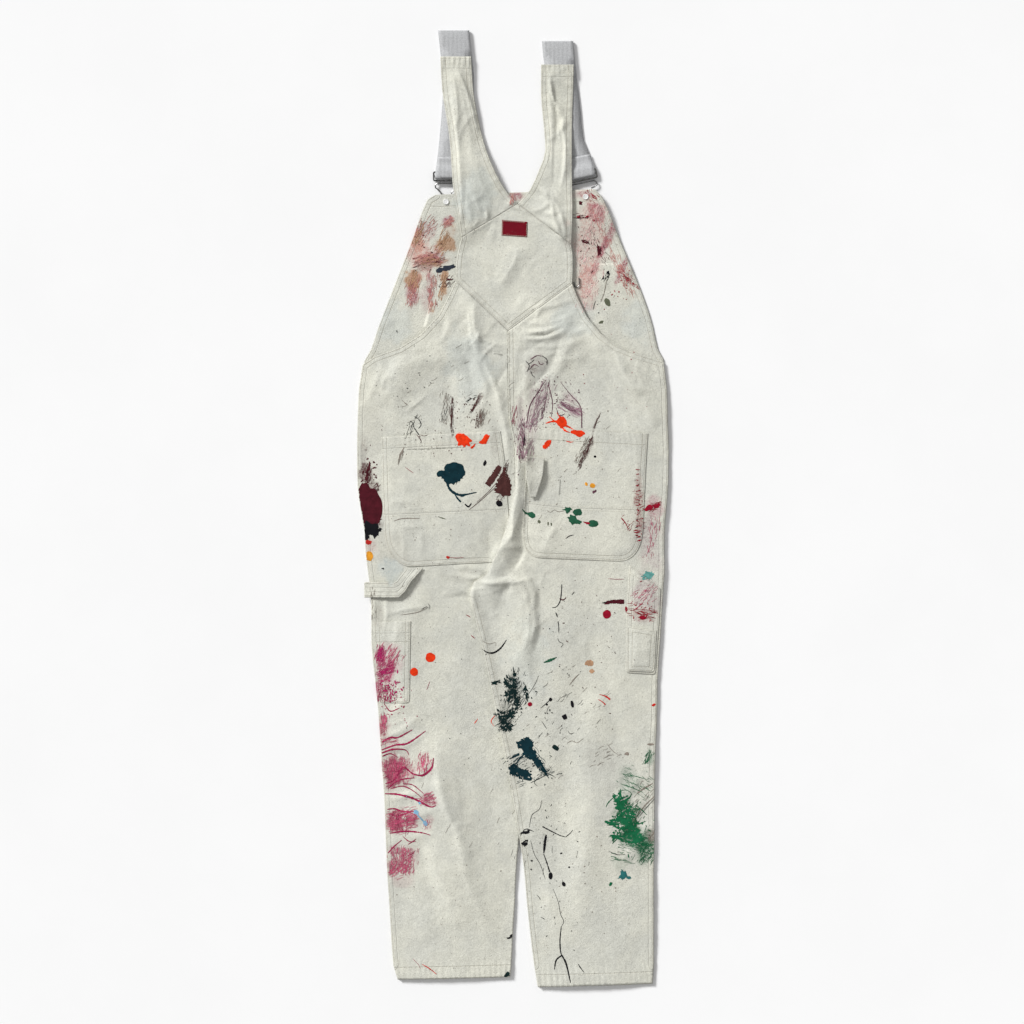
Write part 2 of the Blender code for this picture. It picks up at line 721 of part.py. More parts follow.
def make_fittings(strap):
    """Slide, wire hook, tack button under the bib, and the button's rivet above it."""
    hole_height = (SLIDE_HEIGHT - 3 * SLIDE_BAR) / 2
    hole_y = (hole_height + SLIDE_BAR) / 2
    hole_width = SLIDE_LENGTH - 2 * SLIDE_BAR
    slide = flat_outline(
        f"slide_{strap.side}",
        [
            rounded(SLIDE_LENGTH, SLIDE_HEIGHT, SLIDE_CORNER),
            rounded(hole_width, hole_height, SLIDE_HOLE_CORNER, hole_y, 2),
            rounded(hole_width, hole_height, SLIDE_HOLE_CORNER, -hole_y, 2),
        ],
        SLIDE_BAR,
        "nickel",
    )
    turn = Matrix.Rotation(math.radians(strap.slide_turn), 4, "Z")
    slide.matrix_world = (
        Matrix.Translation((strap.slide_x * MM, strap.slide_y * MM, WIRE_Z * MM)) @ turn
    )

    x, y = strap.button_x, strap.button_y
    away = turn.inverted() @ Vector((x - strap.slide_x, y - strap.slide_y, 0))
    top = -SLIDE_HEIGHT / 2 - WIRE_RADIUS - GAP - HOOK_CLEAR
    eye = SHANK_RADIUS + WIRE_RADIUS + HOOK_PLAY
    side = [(point.out, top - point.down) for point in HOOK_SIDE]
    neck = [(point.out, top - point.down) for point in HOOK_NECK]
    outline = side + [(away.x + px, py) for px, py in neck]
    for i in range(HOOK_EYE_POINTS + 1):
        angle = math.radians(HOOK_EYE_START - HOOK_EYE_TURN * i / HOOK_EYE_POINTS)
        outline.append((away.x + eye * math.cos(angle), away.y + eye * math.sin(angle)))
    outline += [(away.x - px, py) for px, py in reversed(neck)]
    outline += [(-px, py) for px, py in reversed(side)]
    hook = wire(f"hook_{strap.side}", [(px, py, 0) for px, py in outline], WIRE_RADIUS, closed=True)
    hook.matrix_world = slide.matrix_world

    under_bib = bib_z(x, y) - GAP
    rim = BUTTON_HEAD_RADIUS
    turned(
        f"button_{strap.side}",
        [
            (0, under_bib),
            (SHANK_RADIUS, under_bib),
            (SHANK_RADIUS, BUTTON_HEAD),
            (rim - BUTTON_EDGE, BUTTON_HEAD),
            (rim, BUTTON_HEAD - BUTTON_EDGE),
            (rim, BUTTON_EDGE),
            (rim - BUTTON_EDGE, 0),
            (0, 0),
        ],
        x,
        y,
        0,
    )
    inside_rim = RIVET_RADIUS - RIVET_RIM
    turned(
        f"rivet_{strap.side}",
        [
            (0, RIVET_HEIGHT - RIVET_EDGE),
            (inside_rim - RIVET_EDGE, RIVET_HEIGHT - RIVET_EDGE),
            (inside_rim, RIVET_HEIGHT),
            (RIVET_RADIUS - RIVET_EDGE, RIVET_HEIGHT),
            (RIVET_RADIUS, RIVET_HEIGHT - RIVET_EDGE),
            (RIVET_RADIUS, 0),
            (0, 0),
        ],
        x,
        y,
        bib_z(x, y) + HEM + GAP,
    )


def make_staple():
    points = [(x, y, bib_z(x, y) + HEM + GAP + STAPLE_RADIUS) for x, y in STAPLE]
    wire("armhole_staple", points, STAPLE_RADIUS)


def main():
    for old in list(bpy.data.objects):
        bpy.data.objects.remove(old)
    garment = bpy.data.collections.new(COLLECTION)
    bpy.context.scene.collection.children.link(garment)
    make_panels()
    make_overlays()
    for strap, middle_line in zip(STRAPS, (RETURN_LEFT, RETURN_RIGHT)):
        make_elastic(strap, middle_line)
        make_fittings(strap)
    make_staple()


main()
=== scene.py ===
"""Paint spattered overalls, laid flat on their front and seen from straight above.

The cloth pieces are thin shells taken from the solids' upper faces, with creases listed in
millimetres.
Sewing and paint lie on them as raised pieces. Left and right are the picture's.
"""

import math
from collections import namedtuple

import bmesh
import bpy
import numpy as np
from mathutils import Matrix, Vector
from mathutils.bvhtree import BVHTree
from mathutils.kdtree import KDTree


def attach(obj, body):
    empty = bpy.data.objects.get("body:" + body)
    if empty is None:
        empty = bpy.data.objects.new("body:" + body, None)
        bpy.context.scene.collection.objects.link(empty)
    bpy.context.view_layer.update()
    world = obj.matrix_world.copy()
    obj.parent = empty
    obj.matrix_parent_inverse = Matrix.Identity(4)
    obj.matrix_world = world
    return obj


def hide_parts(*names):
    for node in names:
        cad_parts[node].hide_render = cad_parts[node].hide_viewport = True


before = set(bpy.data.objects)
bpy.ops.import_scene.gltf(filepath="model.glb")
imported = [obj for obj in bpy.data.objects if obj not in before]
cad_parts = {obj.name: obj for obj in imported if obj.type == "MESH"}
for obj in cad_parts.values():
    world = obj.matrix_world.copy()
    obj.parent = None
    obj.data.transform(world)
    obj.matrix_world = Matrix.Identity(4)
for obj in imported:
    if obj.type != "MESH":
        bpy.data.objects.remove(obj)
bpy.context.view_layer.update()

MM = 0.001

# Cloth
SHELL = 0.9
CLEAR = 0.12
SEWN_WIDTH = 17.0
SMOOTHING = 26
PATCH_SHELL = 0.45
PATCH_RISE = 0.5
MESH_BACK = 4.6
MESH_FINE = 3.3
MESH_UNDER = 12.0
MESH_SMALL = 2.4
DIVIDING_ROUNDS = 12
TABLE_GAP = 0.05
NOISE_CELLS = 61
FAR = 1e6
RAY_TOP = 200.0

# Sewing
STITCH_LENGTH = 2.5
STITCH_PITCH = 3.6
STITCH_WIDTH = 0.62
STITCH_HEIGHT = 0.34
EDGE_ROW = 2.2
TWIN_ROW = 8.2
HEM_ROW = 19.0
RIPPLE_PITCH = 12.5
RIPPLE_RISE = 0.5
HEM_PITCH = 8.5
HEM_RISE = 1.0
RIPPLE_DRIFT = 3.0
PUCKER_RISE = 0.3
PUCKER_SIZE = 9
LAP = 0.12

# Rounds of evening out: a patch's lower corners, and cloth that settles on what is below it
ROUNDING = 26
SQUARE = 5
ROUND_FROM = 0.5
ROUND_FADE = 0.3
SETTLING = 5
CLEARING = 1.3
KEPT = 0.4

# Seams: how far an outline moves out to meet its neighbour, and how far in their heights are evened
MEETING = 0.3
MEETING_INSET = 0.4
LEVELLING = 7.0
MOUTH_REACH = 3.0
NO_SEAM = 60.0

# How far the left pocket runs on under the right leg's edge, and where
TUCK_DEPTH = 17.0
TUCK_Y = -66.0
TUCK_HALF = 92.0
TUCK_START = -84.0
TUCK_END = -34.0

# How far the right leg's inner edge stands off the left leg, between two heights
EDGE_RISE = 3.6
EDGE_LOW = -540.0
EDGE_LOW_FADE = 160.0
EDGE_HIGH = -112.0
EDGE_HIGH_FADE = 30.0
EDGE_SIDE = 60.0
EDGE_WIDTH = 12.0

# Paint film
PAINT_LIFT = 0.24
PAINT_CROWN = 0.2
PAINT_ROUGHNESS = 0.8
PAINT_SPECULAR = 0.1
STREAK = 26.0
STROKE_STEP = 1.6
SPLASH_POINTS = 96

# Light: a wide soft key from the upper left over an even pale surround
KEY_FROM = (-1.0, 0.9, 0.72)
KEY_POWER = 4.1
KEY_SPREAD = 16.0
SURROUND = 0.44
FLOOR_SIZE = 60.0
FLOOR_Z = -0.0006

# Camera, straight above: the frame is 1.638 m across
CAMERA_HEIGHT = 3.87
CAMERA_LENS = 85.0
CAMERA_X = -0.0016
CAMERA_Y = -0.0056

Piece = namedtuple("Piece", "node mesh over flat area rests ground")
Crease = namedtuple("Crease", "x1 y1 x2 y2 bow width height lean")
Open = namedtuple("Open", "x1 y1 x2 y2")
Seam = namedtuple("Seam", "node start via end rows")
Wash = namedtuple("Wash", "paint x y rx ry turn amount grain")
Blob = namedtuple("Blob", "paint x y rx ry turn jag")
Splat = namedtuple("Splat", "paint x y rx ry turn spikes reach gaps", defaults=(0.0,))
Stroke = namedtuple("Stroke", "paint start middle end path")
Row = namedtuple("Row", "x1 y1 x2 y2")
Zone = namedtuple("Zone", "x y rx ry turn count length height")
Dry = namedtuple("Dry", "paint x y length width turn count size")
Ladder = namedtuple("Ladder", "paint x1 y1 x2 y2 count length width")
Spray = namedtuple("Spray", "paint x y rx ry turn count size")


def painted(kind, *groups):
    """Rows of one kind in their order, from groups that name their paint once."""
    return tuple(kind(paint, *row) for paint, *rows in groups for row in rows)


# Every cloth piece, from the lowest up: its solid, the longest edge in its mesh, what it lies over,
# its cut in millimetres, its flat area in square metres, what it rests on and the panel under a patch
PIECES = (
    Piece("bib_pocket", MESH_UNDER, (), (286, 114), 0.0297, (), None),
    Piece("front_bib", MESH_BACK, ("bib_pocket",), (485, 295), 0.112, ("bib_pocket",), None),
    Piece("front_leg_left", MESH_UNDER, (), (325, 968), 0.255, (), None),
    Piece("back_left", MESH_BACK, ("front_leg_left", "front_bib"), (325, 1117), 0.263,
          ("front_leg_left",), None),
    Piece("front_leg_right", MESH_UNDER, ("front_leg_left", "back_left"), (318, 980), 0.245,
          ("back_left",), None),
    Piece("back_right", MESH_BACK, ("front_leg_right", "front_bib", "back_left"), (318, 1124),
          0.265, ("front_leg_right",), None),
    Piece("back_yoke", MESH_FINE, ("front_bib",), (187, 203), 0.0242, ("front_bib",), None),
    Piece("strap_left", MESH_FINE, ("front_bib", "elastic_left"), (103, 289), 0.0165,
          ("front_bib",), None),
    Piece("strap_right", MESH_FINE, ("front_bib", "elastic_right"), (85, 288), 0.0144,
          ("front_bib",), None),
    Piece("back_pocket_left", MESH_FINE, ("back_left",), (204, 218), 0.0407, ("back_left",),
          "back_left"),
    Piece("back_pocket_right", MESH_FINE, ("back_right",), (201, 215), 0.0403, ("back_right",),
          "back_right"),
    Piece("utility_pocket_left", MESH_FINE, ("back_left",), (59, 131), 0.0073, ("back_left",),
          "back_left"),
    Piece("utility_pocket_right", MESH_FINE, ("back_right",), (57, 175), 0.0082, ("back_right",),
          "back_right"),
    Piece("utility_pocket_right_lower", MESH_FINE, ("utility_pocket_right", "back_right"),
          (48, 74), 0.0034, ("utility_pocket_right",), "utility_pocket_right"),
    Piece("hammer_loop", MESH_SMALL, ("back_left",), (26, 104), 0.0021, ("back_left",), None),
    Piece("tool_tab", MESH_SMALL, ("back_pocket_right", "back_right"), (30, 66), 0.0015,
          ("back_pocket_right",), None),
    Piece("label", MESH_SMALL, ("back_yoke",), (41, 25), 0.001, ("back_yoke",), "back_yoke"),
)
FLAT_ON_TABLE = ("bib_pocket", "front_leg_left")

# The mouths of the pockets, which aren't sewn down
MOUTHS = {
    "back_pocket_left": Open(-210, 114, -20, 124),
    "back_pocket_right": Open(23, 130, 216, 120),
    "utility_pocket_left": Open(-222, -181, -163, -180),
    "utility_pocket_right": Open(186, -91, 236, -128),
    "utility_pocket_right_lower": Open(183, -188, 230, -196),
}

# Creases and soft folds: a line from one end to the other with a bow, and the side that is steeper
CREASES = (
    Crease(10, 417, -19, 362, 3, 7, 0.4, 0.3),
    Crease(62, 497, 83, 430, 5, 5, 2.0, 0.5),
    Crease(44, 478, 66, 470, -3, 5, 1.2, -0.4),
    Crease(40, 457, 82, 433, 4, 6, 1.1, 0.3),
    Crease(52, 512, 60, 486, -2, 5, 1.2, 0.3),
    Crease(-92, 700, -66, 545, 6, 9, 1.2, 0.3),
    Crease(-104, 690, -98, 600, -3, 8, 0.9, 0.2),
    Crease(-60, 560, -40, 500, -4, 8, 1.0, 0.2),
    Crease(-46, 486, -42, 458, 2, 4, 0.8, 0.4),
    Crease(-76, 500, -66, 440, 3, 9, 0.9, -0.3),
    Crease(-24, 448, -18, 434, 1, 4, 0.6, 0.2),
    Crease(-84, 350, -64, 330, 2, 6, 1.2, 0.4),
    Crease(-62, 328, -52, 262, -5, 8, 2.0, 0.5),
    Crease(-52, 262, -20, 254, -4, 7, 1.2, 0.4),
    Crease(-70, 310, -76, 270, 3, 9, -1.0, 0.2),
    Crease(-108, 308, -60, 246, -6, 11, 1.2, 0.3),
    Crease(-60, 246, -34, 180, -4, 12, 1.9, 0.4),
    Crease(-34, 180, -12, 126, 3, 11, 1.7, 0.4),
    Crease(-12, 126, -6, 66, 2, 10, 1.3, 0.3),
    Crease(-82, 236, -60, 160, 8, 18, -1.2, 0.0),
    Crease(-140, 262, -108, 214, 6, 16, 1.3, 0.3),
    Crease(-170, 242, -196, 190, -8, 18, 1.4, 0.3),
    Crease(-212, 228, -232, 176, 4, 14, 1.2, 0.2),
    Crease(-150, 176, -96, 148, 5, 18, -0.9, 0.0),
    Crease(14, 280, 98, 306, -9, 6, 1.6, 0.4),
    Crease(16, 272, 90, 286, -7, 6, 1.4, -0.3),
    Crease(22, 262, 104, 268, -8, 7, 1.3, 0.4),
    Crease(30, 246, 96, 262, -6, 9, 1.1, -0.2),
    Crease(40, 300, 82, 318, -3, 6, 0.9, 0.3),
    Crease(60, 236, 120, 250, -5, 12, 1.0, 0.2),
    Crease(22, 236, 14, 168, 4, 12, 1.2, 0.3),
    Crease(10, 262, 4, 200, -3, 9, 0.9, -0.3),
    Crease(118, 290, 150, 250, -5, 12, 1.4, 0.4),
    Crease(150, 250, 210, 182, -10, 16, 1.8, 0.4),
    Crease(210, 182, 232, 130, -4, 14, 1.4, 0.3),
    Crease(176, 236, 228, 196, 6, 13, 1.2, 0.2),
    Crease(224, 210, 240, 196, 2, 6, 1.2, 0.3),
    Crease(70, 210, 118, 130, 8, 22, -0.9, 0.0),
    Crease(140, 210, 176, 140, -7, 22, -1.0, 0.0),
    Crease(14, 124, 20, 60, 4, 7, 1.4, 0.3),
    Crease(20, 60, 14, 2, 3, 7, 1.2, 0.3),
    Crease(12, 2, -10, -56, 3, 8, 1.4, -0.3),
    Crease(18, -14, 20, -66, -2, 6, 1.5, 0.5),
    Crease(20, -66, -2, -104, 4, 6, 1.4, 0.5),
    Crease(-2, -104, -4, -140, 2, 6, 1.0, 0.3),
    Crease(-60, -112, -22, -118, -4, 7, 1.3, 0.3),
    Crease(-22, -118, 18, -112, -4, 7, 1.4, 0.3),
    Crease(20, -110, 32, -160, 6, 8, 1.9, 0.5),
    Crease(32, -160, 28, -214, 5, 9, 1.7, 0.5),
    Crease(8, -118, 14, -190, 4, 12, 1.2, -0.2),
    Crease(-62, -166, -44, -172, 2, 5, 0.9, 0.3),
    Crease(-38, -174, -24, -166, -2, 5, 0.8, 0.3),
    Crease(-88, -94, -44, -106, 4, 6, 1.3, 0.3),
    Crease(-78, -112, -50, -106, -3, 6, 1.0, 0.3),
    Crease(-110, -104, -62, -120, 3, 9, 0.9, 0.2),
    Crease(-40, -30, -24, -92, -5, 12, -1.2, 0.2),
    Crease(-206, -142, -204, -182, 3, 5, 1.5, 0.4),
    Crease(-202, -170, -132, -158, 3, 6, 1.2, 0.3),
    Crease(-218, -146, -222, -176, -3, 5, 1.0, 0.2),
    Crease(-186, -186, -190, -214, 2, 6, 0.9, 0.2),
    Crease(-196, 10, -150, 4, 3, 9, 0.9, 0.2),
    Crease(-178, -30, -176, -82, 2, 6, 0.7, 0.3),
    Crease(-148, -32, -146, -70, 2, 6, 0.7, -0.3),
    Crease(-178, -31, -148, -30, 1, 6, 0.7, 0.2),
    Crease(60, -30, 40, -76, 5, 14, 1.0, 0.2),
    Crease(180, -60, 226, -96, -4, 11, 1.0, 0.3),
    Crease(196, -140, 222, -172, 3, 8, 1.1, 0.3),
    Crease(212, -128, 228, -150, -3, 6, 0.9, 0.3),
    Crease(194, -226, 222, -232, 2, 9, 0.7, 0.2),
    Crease(-172, -300, -196, -330, 3, 10, 1.2, 0.3),
    Crease(-150, -330, -208, -366, 5, 10, 1.3, 0.3),
    Crease(-140, -360, -206, -388, 6, 9, 1.2, -0.3),
    Crease(-128, -400, -186, -436, 7, 10, 1.3, 0.3),
    Crease(-150, -450, -206, -462, 5, 9, 1.2, 0.3),
    Crease(-120, -476, -184, -496, 6, 9, 1.1, -0.3),
    Crease(-130, -520, -196, -520, 5, 10, 1.0, 0.2),
    Crease(-122, -424, -92, -500, -8, 16, 2.0, 0.4),
    Crease(-92, -500, -66, -560, -5, 16, 1.7, 0.4),
    Crease(-130, -540, -96, -620, -8, 18, 1.5, 0.3),
    Crease(-60, -400, -30, -520, 8, 20, -1.0, 0.0),
    Crease(-150, -640, -138, -700, 4, 18, 0.9, 0.2),
    Crease(-60, -620, -30, -700, -6, 20, 0.9, 0.2),
    Crease(-20, -300, 6, -380, -5, 12, 1.1, 0.3),
    Crease(30, -220, 40, -300, -6, 18, -1.1, 0.0),
    Crease(60, -330, 110, -400, 8, 20, 1.0, 0.2),
    Crease(150, -300, 190, -380, -8, 20, -1.0, 0.0),
    Crease(206, -420, 160, -470, 6, 12, 1.2, 0.3),
    Crease(212, -450, 170, -520, 6, 12, 1.2, -0.3),
    Crease(216, -500, 176, -560, 5, 12, 1.1, 0.3),
    Crease(120, -480, 100, -600, 8, 22, 1.1, 0.2),
    Crease(60, -560, 70, -680, -8, 20, 1.0, 0.2),
    Crease(150, -640, 170, -720, -5, 18, 0.9, 0.2),
    Crease(-170, 440, -120, 470, 5, 10, 1.0, 0.2),
    Crease(-150, 410, -110, 380, 4, 9, 1.0, 0.3),
    Crease(-140, 360, -128, 300, 3, 8, 1.0, 0.3),
    Crease(-176, 340, -166, 276, 3, 10, 0.9, 0.2),
    Crease(-206, 300, -170, 260, 6, 12, 1.0, 0.2),
    Crease(110, 460, 150, 440, 4, 9, 0.9, 0.3),
    Crease(150, 390, 120, 330, 5, 10, 1.0, 0.3),
    Crease(170, 400, 186, 330, -4, 9, 0.9, 0.2),
    Crease(200, 320, 180, 270, 4, 10, 1.0, 0.3),
    Crease(150, 330, 136, 290, 3, 9, 0.9, 0.3),
)
# What the creases' heights and widths are multiplied by, and how pointed their crests are
CREASE_RISE = 1.5
CREASE_WIDTH = 0.8
CREST = 1.45
CREASE_END = 0.02
# The boldest folds, at their full height
FOLDS = (
    Crease(-70, 318, -57, 250, -4, 6, 3.0, 0.5),
    Crease(-57, 250, -18, 156, 5, 6.5, 3.2, 0.5),
    Crease(-18, 156, -10, 90, 2, 7, 2.0, 0.3),
    Crease(-61, 279, -16, 260, -5, 5, 1.8, 0.5),
    Crease(-101, 302, -118, 262, 3, 9, 1.6, 0.3),
    Crease(-120, 238, -98, 170, 6, 14, -2.0, 0.0),
    Crease(-92, 180, -96, 150, 2, 8, -1.2, 0.0),
    Crease(-84, 262, -66, 190, 4, 10, -1.8, 0.0),
    Crease(24, 295, 99, 313, -8, 5, 2.4, 0.5),
    Crease(6, 273, 94, 297, -12, 5, 2.4, -0.5),
    Crease(22, 282, 80, 292, -5, 4, 1.8, 0.4),
    Crease(27, 318, 100, 336, -4, 5, 1.6, 0.4),
    Crease(75, 270, 20, 186, 10, 8, -2.4, 0.2),
    Crease(88, 262, 36, 196, 8, 9, 1.6, 0.2),
    Crease(16, 186, 16, 140, -3, 5, -2.2, 0.3),
    Crease(165, 247, 219, 167, -8, 9, 2.6, 0.5),
    Crease(150, 236, 196, 150, -6, 14, -1.8, 0.0),
    Crease(43, 513, 62, 494, -2, 4, 3.4, 0.5),
    Crease(62, 494, 82, 424, -6, 4.5, 4.6, 0.5),
    Crease(30, 474, 60, 489, -3, 7, 2.4, 0.3),
    Crease(46, 462, 80, 430, 4, 4.5, 2.4, 0.4),
    Crease(50, 474, 74, 446, 3, 4, 1.8, 0.3),
    Crease(-11, 486, 8, 494, -2, 3.5, 1.4, 0.4),
    Crease(-12, 482, 25, 470, 3, 4, 1.4, 0.4),
    Crease(-53, 484, -40, 465, 2, 3.5, 1.8, 0.4),
    Crease(-66, 500, -52, 470, 2, 5, 1.2, 0.4),
    Crease(8, 413, -21, 356, 3, 5, 0.5, 0.3),
    Crease(59, 689, 80, 625, -5, 4.5, 4.6, 0.5),
    Crease(80, 625, 79, 602, -1, 4.5, 3.2, 0.5),
    Crease(57, 690, 62, 520, 2, 10, 2.6, 0.6),
    Crease(63, 684, 69, 590, 3, 5, -3.4, 0.2),
    Crease(66, 590, 64, 513, 0, 6, -2.0, 0.2),
    Crease(79, 609, 76, 513, 6, 6, 4.0, 0.4),
    Crease(56, 600, 54, 540, 0, 5, 1.4, 0.3),
    Crease(-96, 695, -88, 612, 2, 4, 2.0, 0.3),
    Crease(-88, 700, -57, 600, 4, 5, 3.6, -0.3),
    Crease(-101, 700, -84, 520, 2, 14, 4.2, 0.6),
    Crease(-100, 660, -84, 520, 3, 5, 1.8, 0.4),
    Crease(-84, 530, -85, 440, 2, 6, 1.6, 0.3),
    Crease(-76, 540, -78, 450, 1, 9, -1.6, 0.0),
    Crease(7, 92, 8, 20, 0, 8, 3.6, 0.2),
    Crease(8, 28, -1, -52, -3, 9, 4.6, 0.2),
    Crease(-1, -44, -36, -108, -8, 11, 4.8, 0.2),
    Crease(23, 74, 22, -20, 0, 8, -2.2, 0.0),
    Crease(21, -14, 16, -66, 0, 10, -2.4, 0.0),
    Crease(17, -60, 0, -104, 3, 10, -2.2, 0.0),
    Crease(0, -112, 22, -150, 8, 10, 4.2, 0.3),
    Crease(22, -144, 18, -226, 6, 12, 4.0, 0.3),
    Crease(26, -106, 41, -160, 7, 7, -2.2, 0.0),
    Crease(40, -154, 34, -230, 5, 9, -2.2, 0.0),
    Crease(-62, -116, 8, -112, -6, 8, 3.0, 0.3),
    Crease(-62, -126, -58, -160, -4, 7, 2.4, 0.3),
    Crease(-93, -94, -44, -107, 4, 5, 1.8, 0.5),
    Crease(-80, -108, -46, -110, -3, 5, 1.4, 0.5),
    Crease(-122, -400, -88, -520, -8, 14, 3.0, 0.5),
    Crease(-88, -512, -62, -626, -4, 15, 2.6, 0.4),
    Crease(-148, -520, -118, -640, -6, 18, -2.0, 0.0),
    Crease(26, -230, 44, -330, -6, 16, 2.0, 0.3),
)
# Soft waviness of the whole cloth: size and height
RUMPLES = ((92, 0.9), (43, 0.55), (19, 0.26), (9, 0.13))
HIDDEN_RUMPLES = ((40, 0.25), (14, 0.1))
HIDDEN_SHARE = 0.5
# Panels that meet edge to edge
JOINTS = (
    ("back_yoke", "strap_left"),
    ("back_yoke", "strap_right"),
    ("back_yoke", "back_left"),
    ("back_yoke", "back_right"),
    ("strap_left", "strap_right"),
)
# Of the short uneven creases: how far they spread in their zone and turn from its direction, what
# share of them are ridges, and how high a valley is beside a ridge
SPREAD = 0.55
WANDER = 0.42
RIDGES = 0.72
VALLEY = -0.8
# Where they gather, and how they mostly run
ZONES = (
    Zone(60, 280, 50, 26, 12, 16, 44, 0.9),
    Zone(-60, 280, 34, 46, 70, 14, 40, 0.9),
    Zone(-20, 190, 30, 60, 80, 10, 60, 0.9),
    Zone(60, 190, 60, 50, 60, 12, 50, 0.6),
    Zone(190, 190, 40, 60, -50, 12, 46, 0.8),
    Zone(-200, 190, 34, 50, 60, 10, 40, 0.7),
    Zone(-80, 610, 22, 80, 82, 12, 60, 0.8),
    Zone(72, 610, 18, 80, 94, 12, 60, 0.9),
    Zone(60, 470, 26, 26, -60, 10, 34, 1.0),
    Zone(-50, 480, 30, 34, 60, 8, 40, 0.8),
    Zone(0, 400, 70, 50, 60, 10, 50, 0.28),
    Zone(-120, 20, 80, 80, 20, 8, 44, 0.3),
    Zone(120, 20, 80, 80, -20, 8, 44, 0.3),
    Zone(0, -90, 34, 40, -50, 14, 34, 1.0),
    Zone(-70, -130, 60, 30, 0, 10, 50, 0.8),
    Zone(60, -160, 40, 60, 80, 10, 50, 0.7),
    Zone(-170, -400, 36, 110, 10, 16, 40, 0.5),
    Zone(-60, -480, 60, 150, 70, 6, 90, 0.4),
    Zone(180, -470, 36, 110, -20, 14, 40, 0.5),
    Zone(80, -480, 60, 150, -70, 6, 90, 0.4),
    Zone(-90, -680, 80, 60, 80, 6, 50, 0.35),
    Zone(140, -690, 80, 60, 90, 6, 50, 0.35),
    Zone(-150, 400, 36, 60, 60, 12, 36, 0.7),
    Zone(150, 400, 36, 60, -60, 12, 36, 0.7),
    Zone(-190, 290, 30, 40, 60, 8, 40, 0.7),
    Zone(190, 290, 30, 40, -60, 8, 40, 0.7),
)

# Sewn edges: the panel, a corner, a place on the way and the other corner, and the rows of stitches
SEAMS = (
    Seam("back_left", (-91, 363), (-147, 278), (-240, 230), (EDGE_ROW, TWIN_ROW)),
    Seam("back_right", (94, 358), (141, 278), (241, 234), (EDGE_ROW, TWIN_ROW)),
    Seam("back_yoke", (-91, 364), (-50, 324), (-8, 284), (EDGE_ROW, TWIN_ROW)),
    Seam("back_yoke", (94, 359), (43, 321), (-8, 284), (EDGE_ROW, TWIN_ROW)),
    Seam("back_yoke", (-82, 433), (-89, 400), (-91, 364), (EDGE_ROW, TWIN_ROW)),
    Seam("back_yoke", (93, 421), (95.5, 390), (94, 359), (EDGE_ROW, TWIN_ROW)),
    Seam("back_right", (-8, 284), (-5, 160), (4, 60), (EDGE_ROW, TWIN_ROW)),
    Seam("back_right", (-66, -150), (-10, -400), (34, -730), (EDGE_ROW, TWIN_ROW)),
    Seam("back_right", (241, 234), (238, -164), (225, -730), (EDGE_ROW,)),
    Seam("back_left", (-240, 230), (-226, -164), (-191, -730), (EDGE_ROW,)),
    Seam("back_left", (-184, -753), (-90, -751), (-5, -749), (HEM_ROW,)),
    Seam("back_right", (40, -765), (130, -762), (223, -760), (HEM_ROW,)),
    Seam("front_bib", (-124, 501), (-176, 390), (-242, 216), (TWIN_ROW,)),
    Seam("front_bib", (131, 510), (187, 390), (243, 216), (TWIN_ROW,)),
    Seam("front_bib", (-124, 501), (0, 505), (131, 510), (HEM_ROW,)),
    Seam("strap_left", (-116, 722), (-99, 567), (-82, 433), (EDGE_ROW, TWIN_ROW)),
    Seam("strap_left", (-67, 722), (-42, 570), (8, 487), (EDGE_ROW, TWIN_ROW)),
    Seam("strap_left", (-116, 722), (-90, 722), (-67, 722), (EDGE_ROW, 12.0)),
    Seam("strap_right", (45, 709), (52, 573), (8, 487), (EDGE_ROW, TWIN_ROW)),
    Seam("strap_right", (97, 709), (94, 573), (93, 421), (EDGE_ROW, TWIN_ROW)),
    Seam("strap_right", (45, 709), (70, 709), (97, 709), (EDGE_ROW, 12.0)),
    Seam("back_pocket_left", (-210, 114), (-172, -94), (-38, -86), (EDGE_ROW, TWIN_ROW)),
    Seam("back_pocket_left", (-20, 124), (-13, 76), (-8, 28), (EDGE_ROW, TWIN_ROW)),
    Seam("back_pocket_left", (-210, 114), (-100, 120), (-20, 124), (HEM_ROW - 5,)),
    Seam("back_pocket_right", (23, 130), (100, -82), (216, 120), (EDGE_ROW, TWIN_ROW)),
    Seam("back_pocket_right", (23, 130), (120, 125), (216, 120), (HEM_ROW,)),
    Seam("utility_pocket_left", (-222, -181), (-190, -311), (-163, -180), (EDGE_ROW, TWIN_ROW)),
    Seam("utility_pocket_left", (-222, -181), (-190, -181), (-163, -180), (HEM_ROW - 5,)),
    Seam("utility_pocket_right", (186, -91), (200, -265), (236, -128), (EDGE_ROW,)),
    Seam("utility_pocket_right", (186, -91), (210, -109), (236, -128), (TWIN_ROW,)),
    Seam("utility_pocket_right_lower", (183, -188), (200, -261), (230, -196), (EDGE_ROW, TWIN_ROW)),
    Seam("utility_pocket_right_lower", (183, -188), (206, -192), (230, -196), (TWIN_ROW,)),
    Seam("hammer_loop", (-170, -96), (-188, -119), (-237, -118), (EDGE_ROW,)),
    Seam("hammer_loop", (-144, -96), (-182, -142), (-237, -142), (EDGE_ROW,)),
    Seam("label", (-17, 461), (0, 434), (23, 458), (1.2,)),
    Seam("label", (-17, 461), (2, 460), (23, 458), (1.2,)),
)

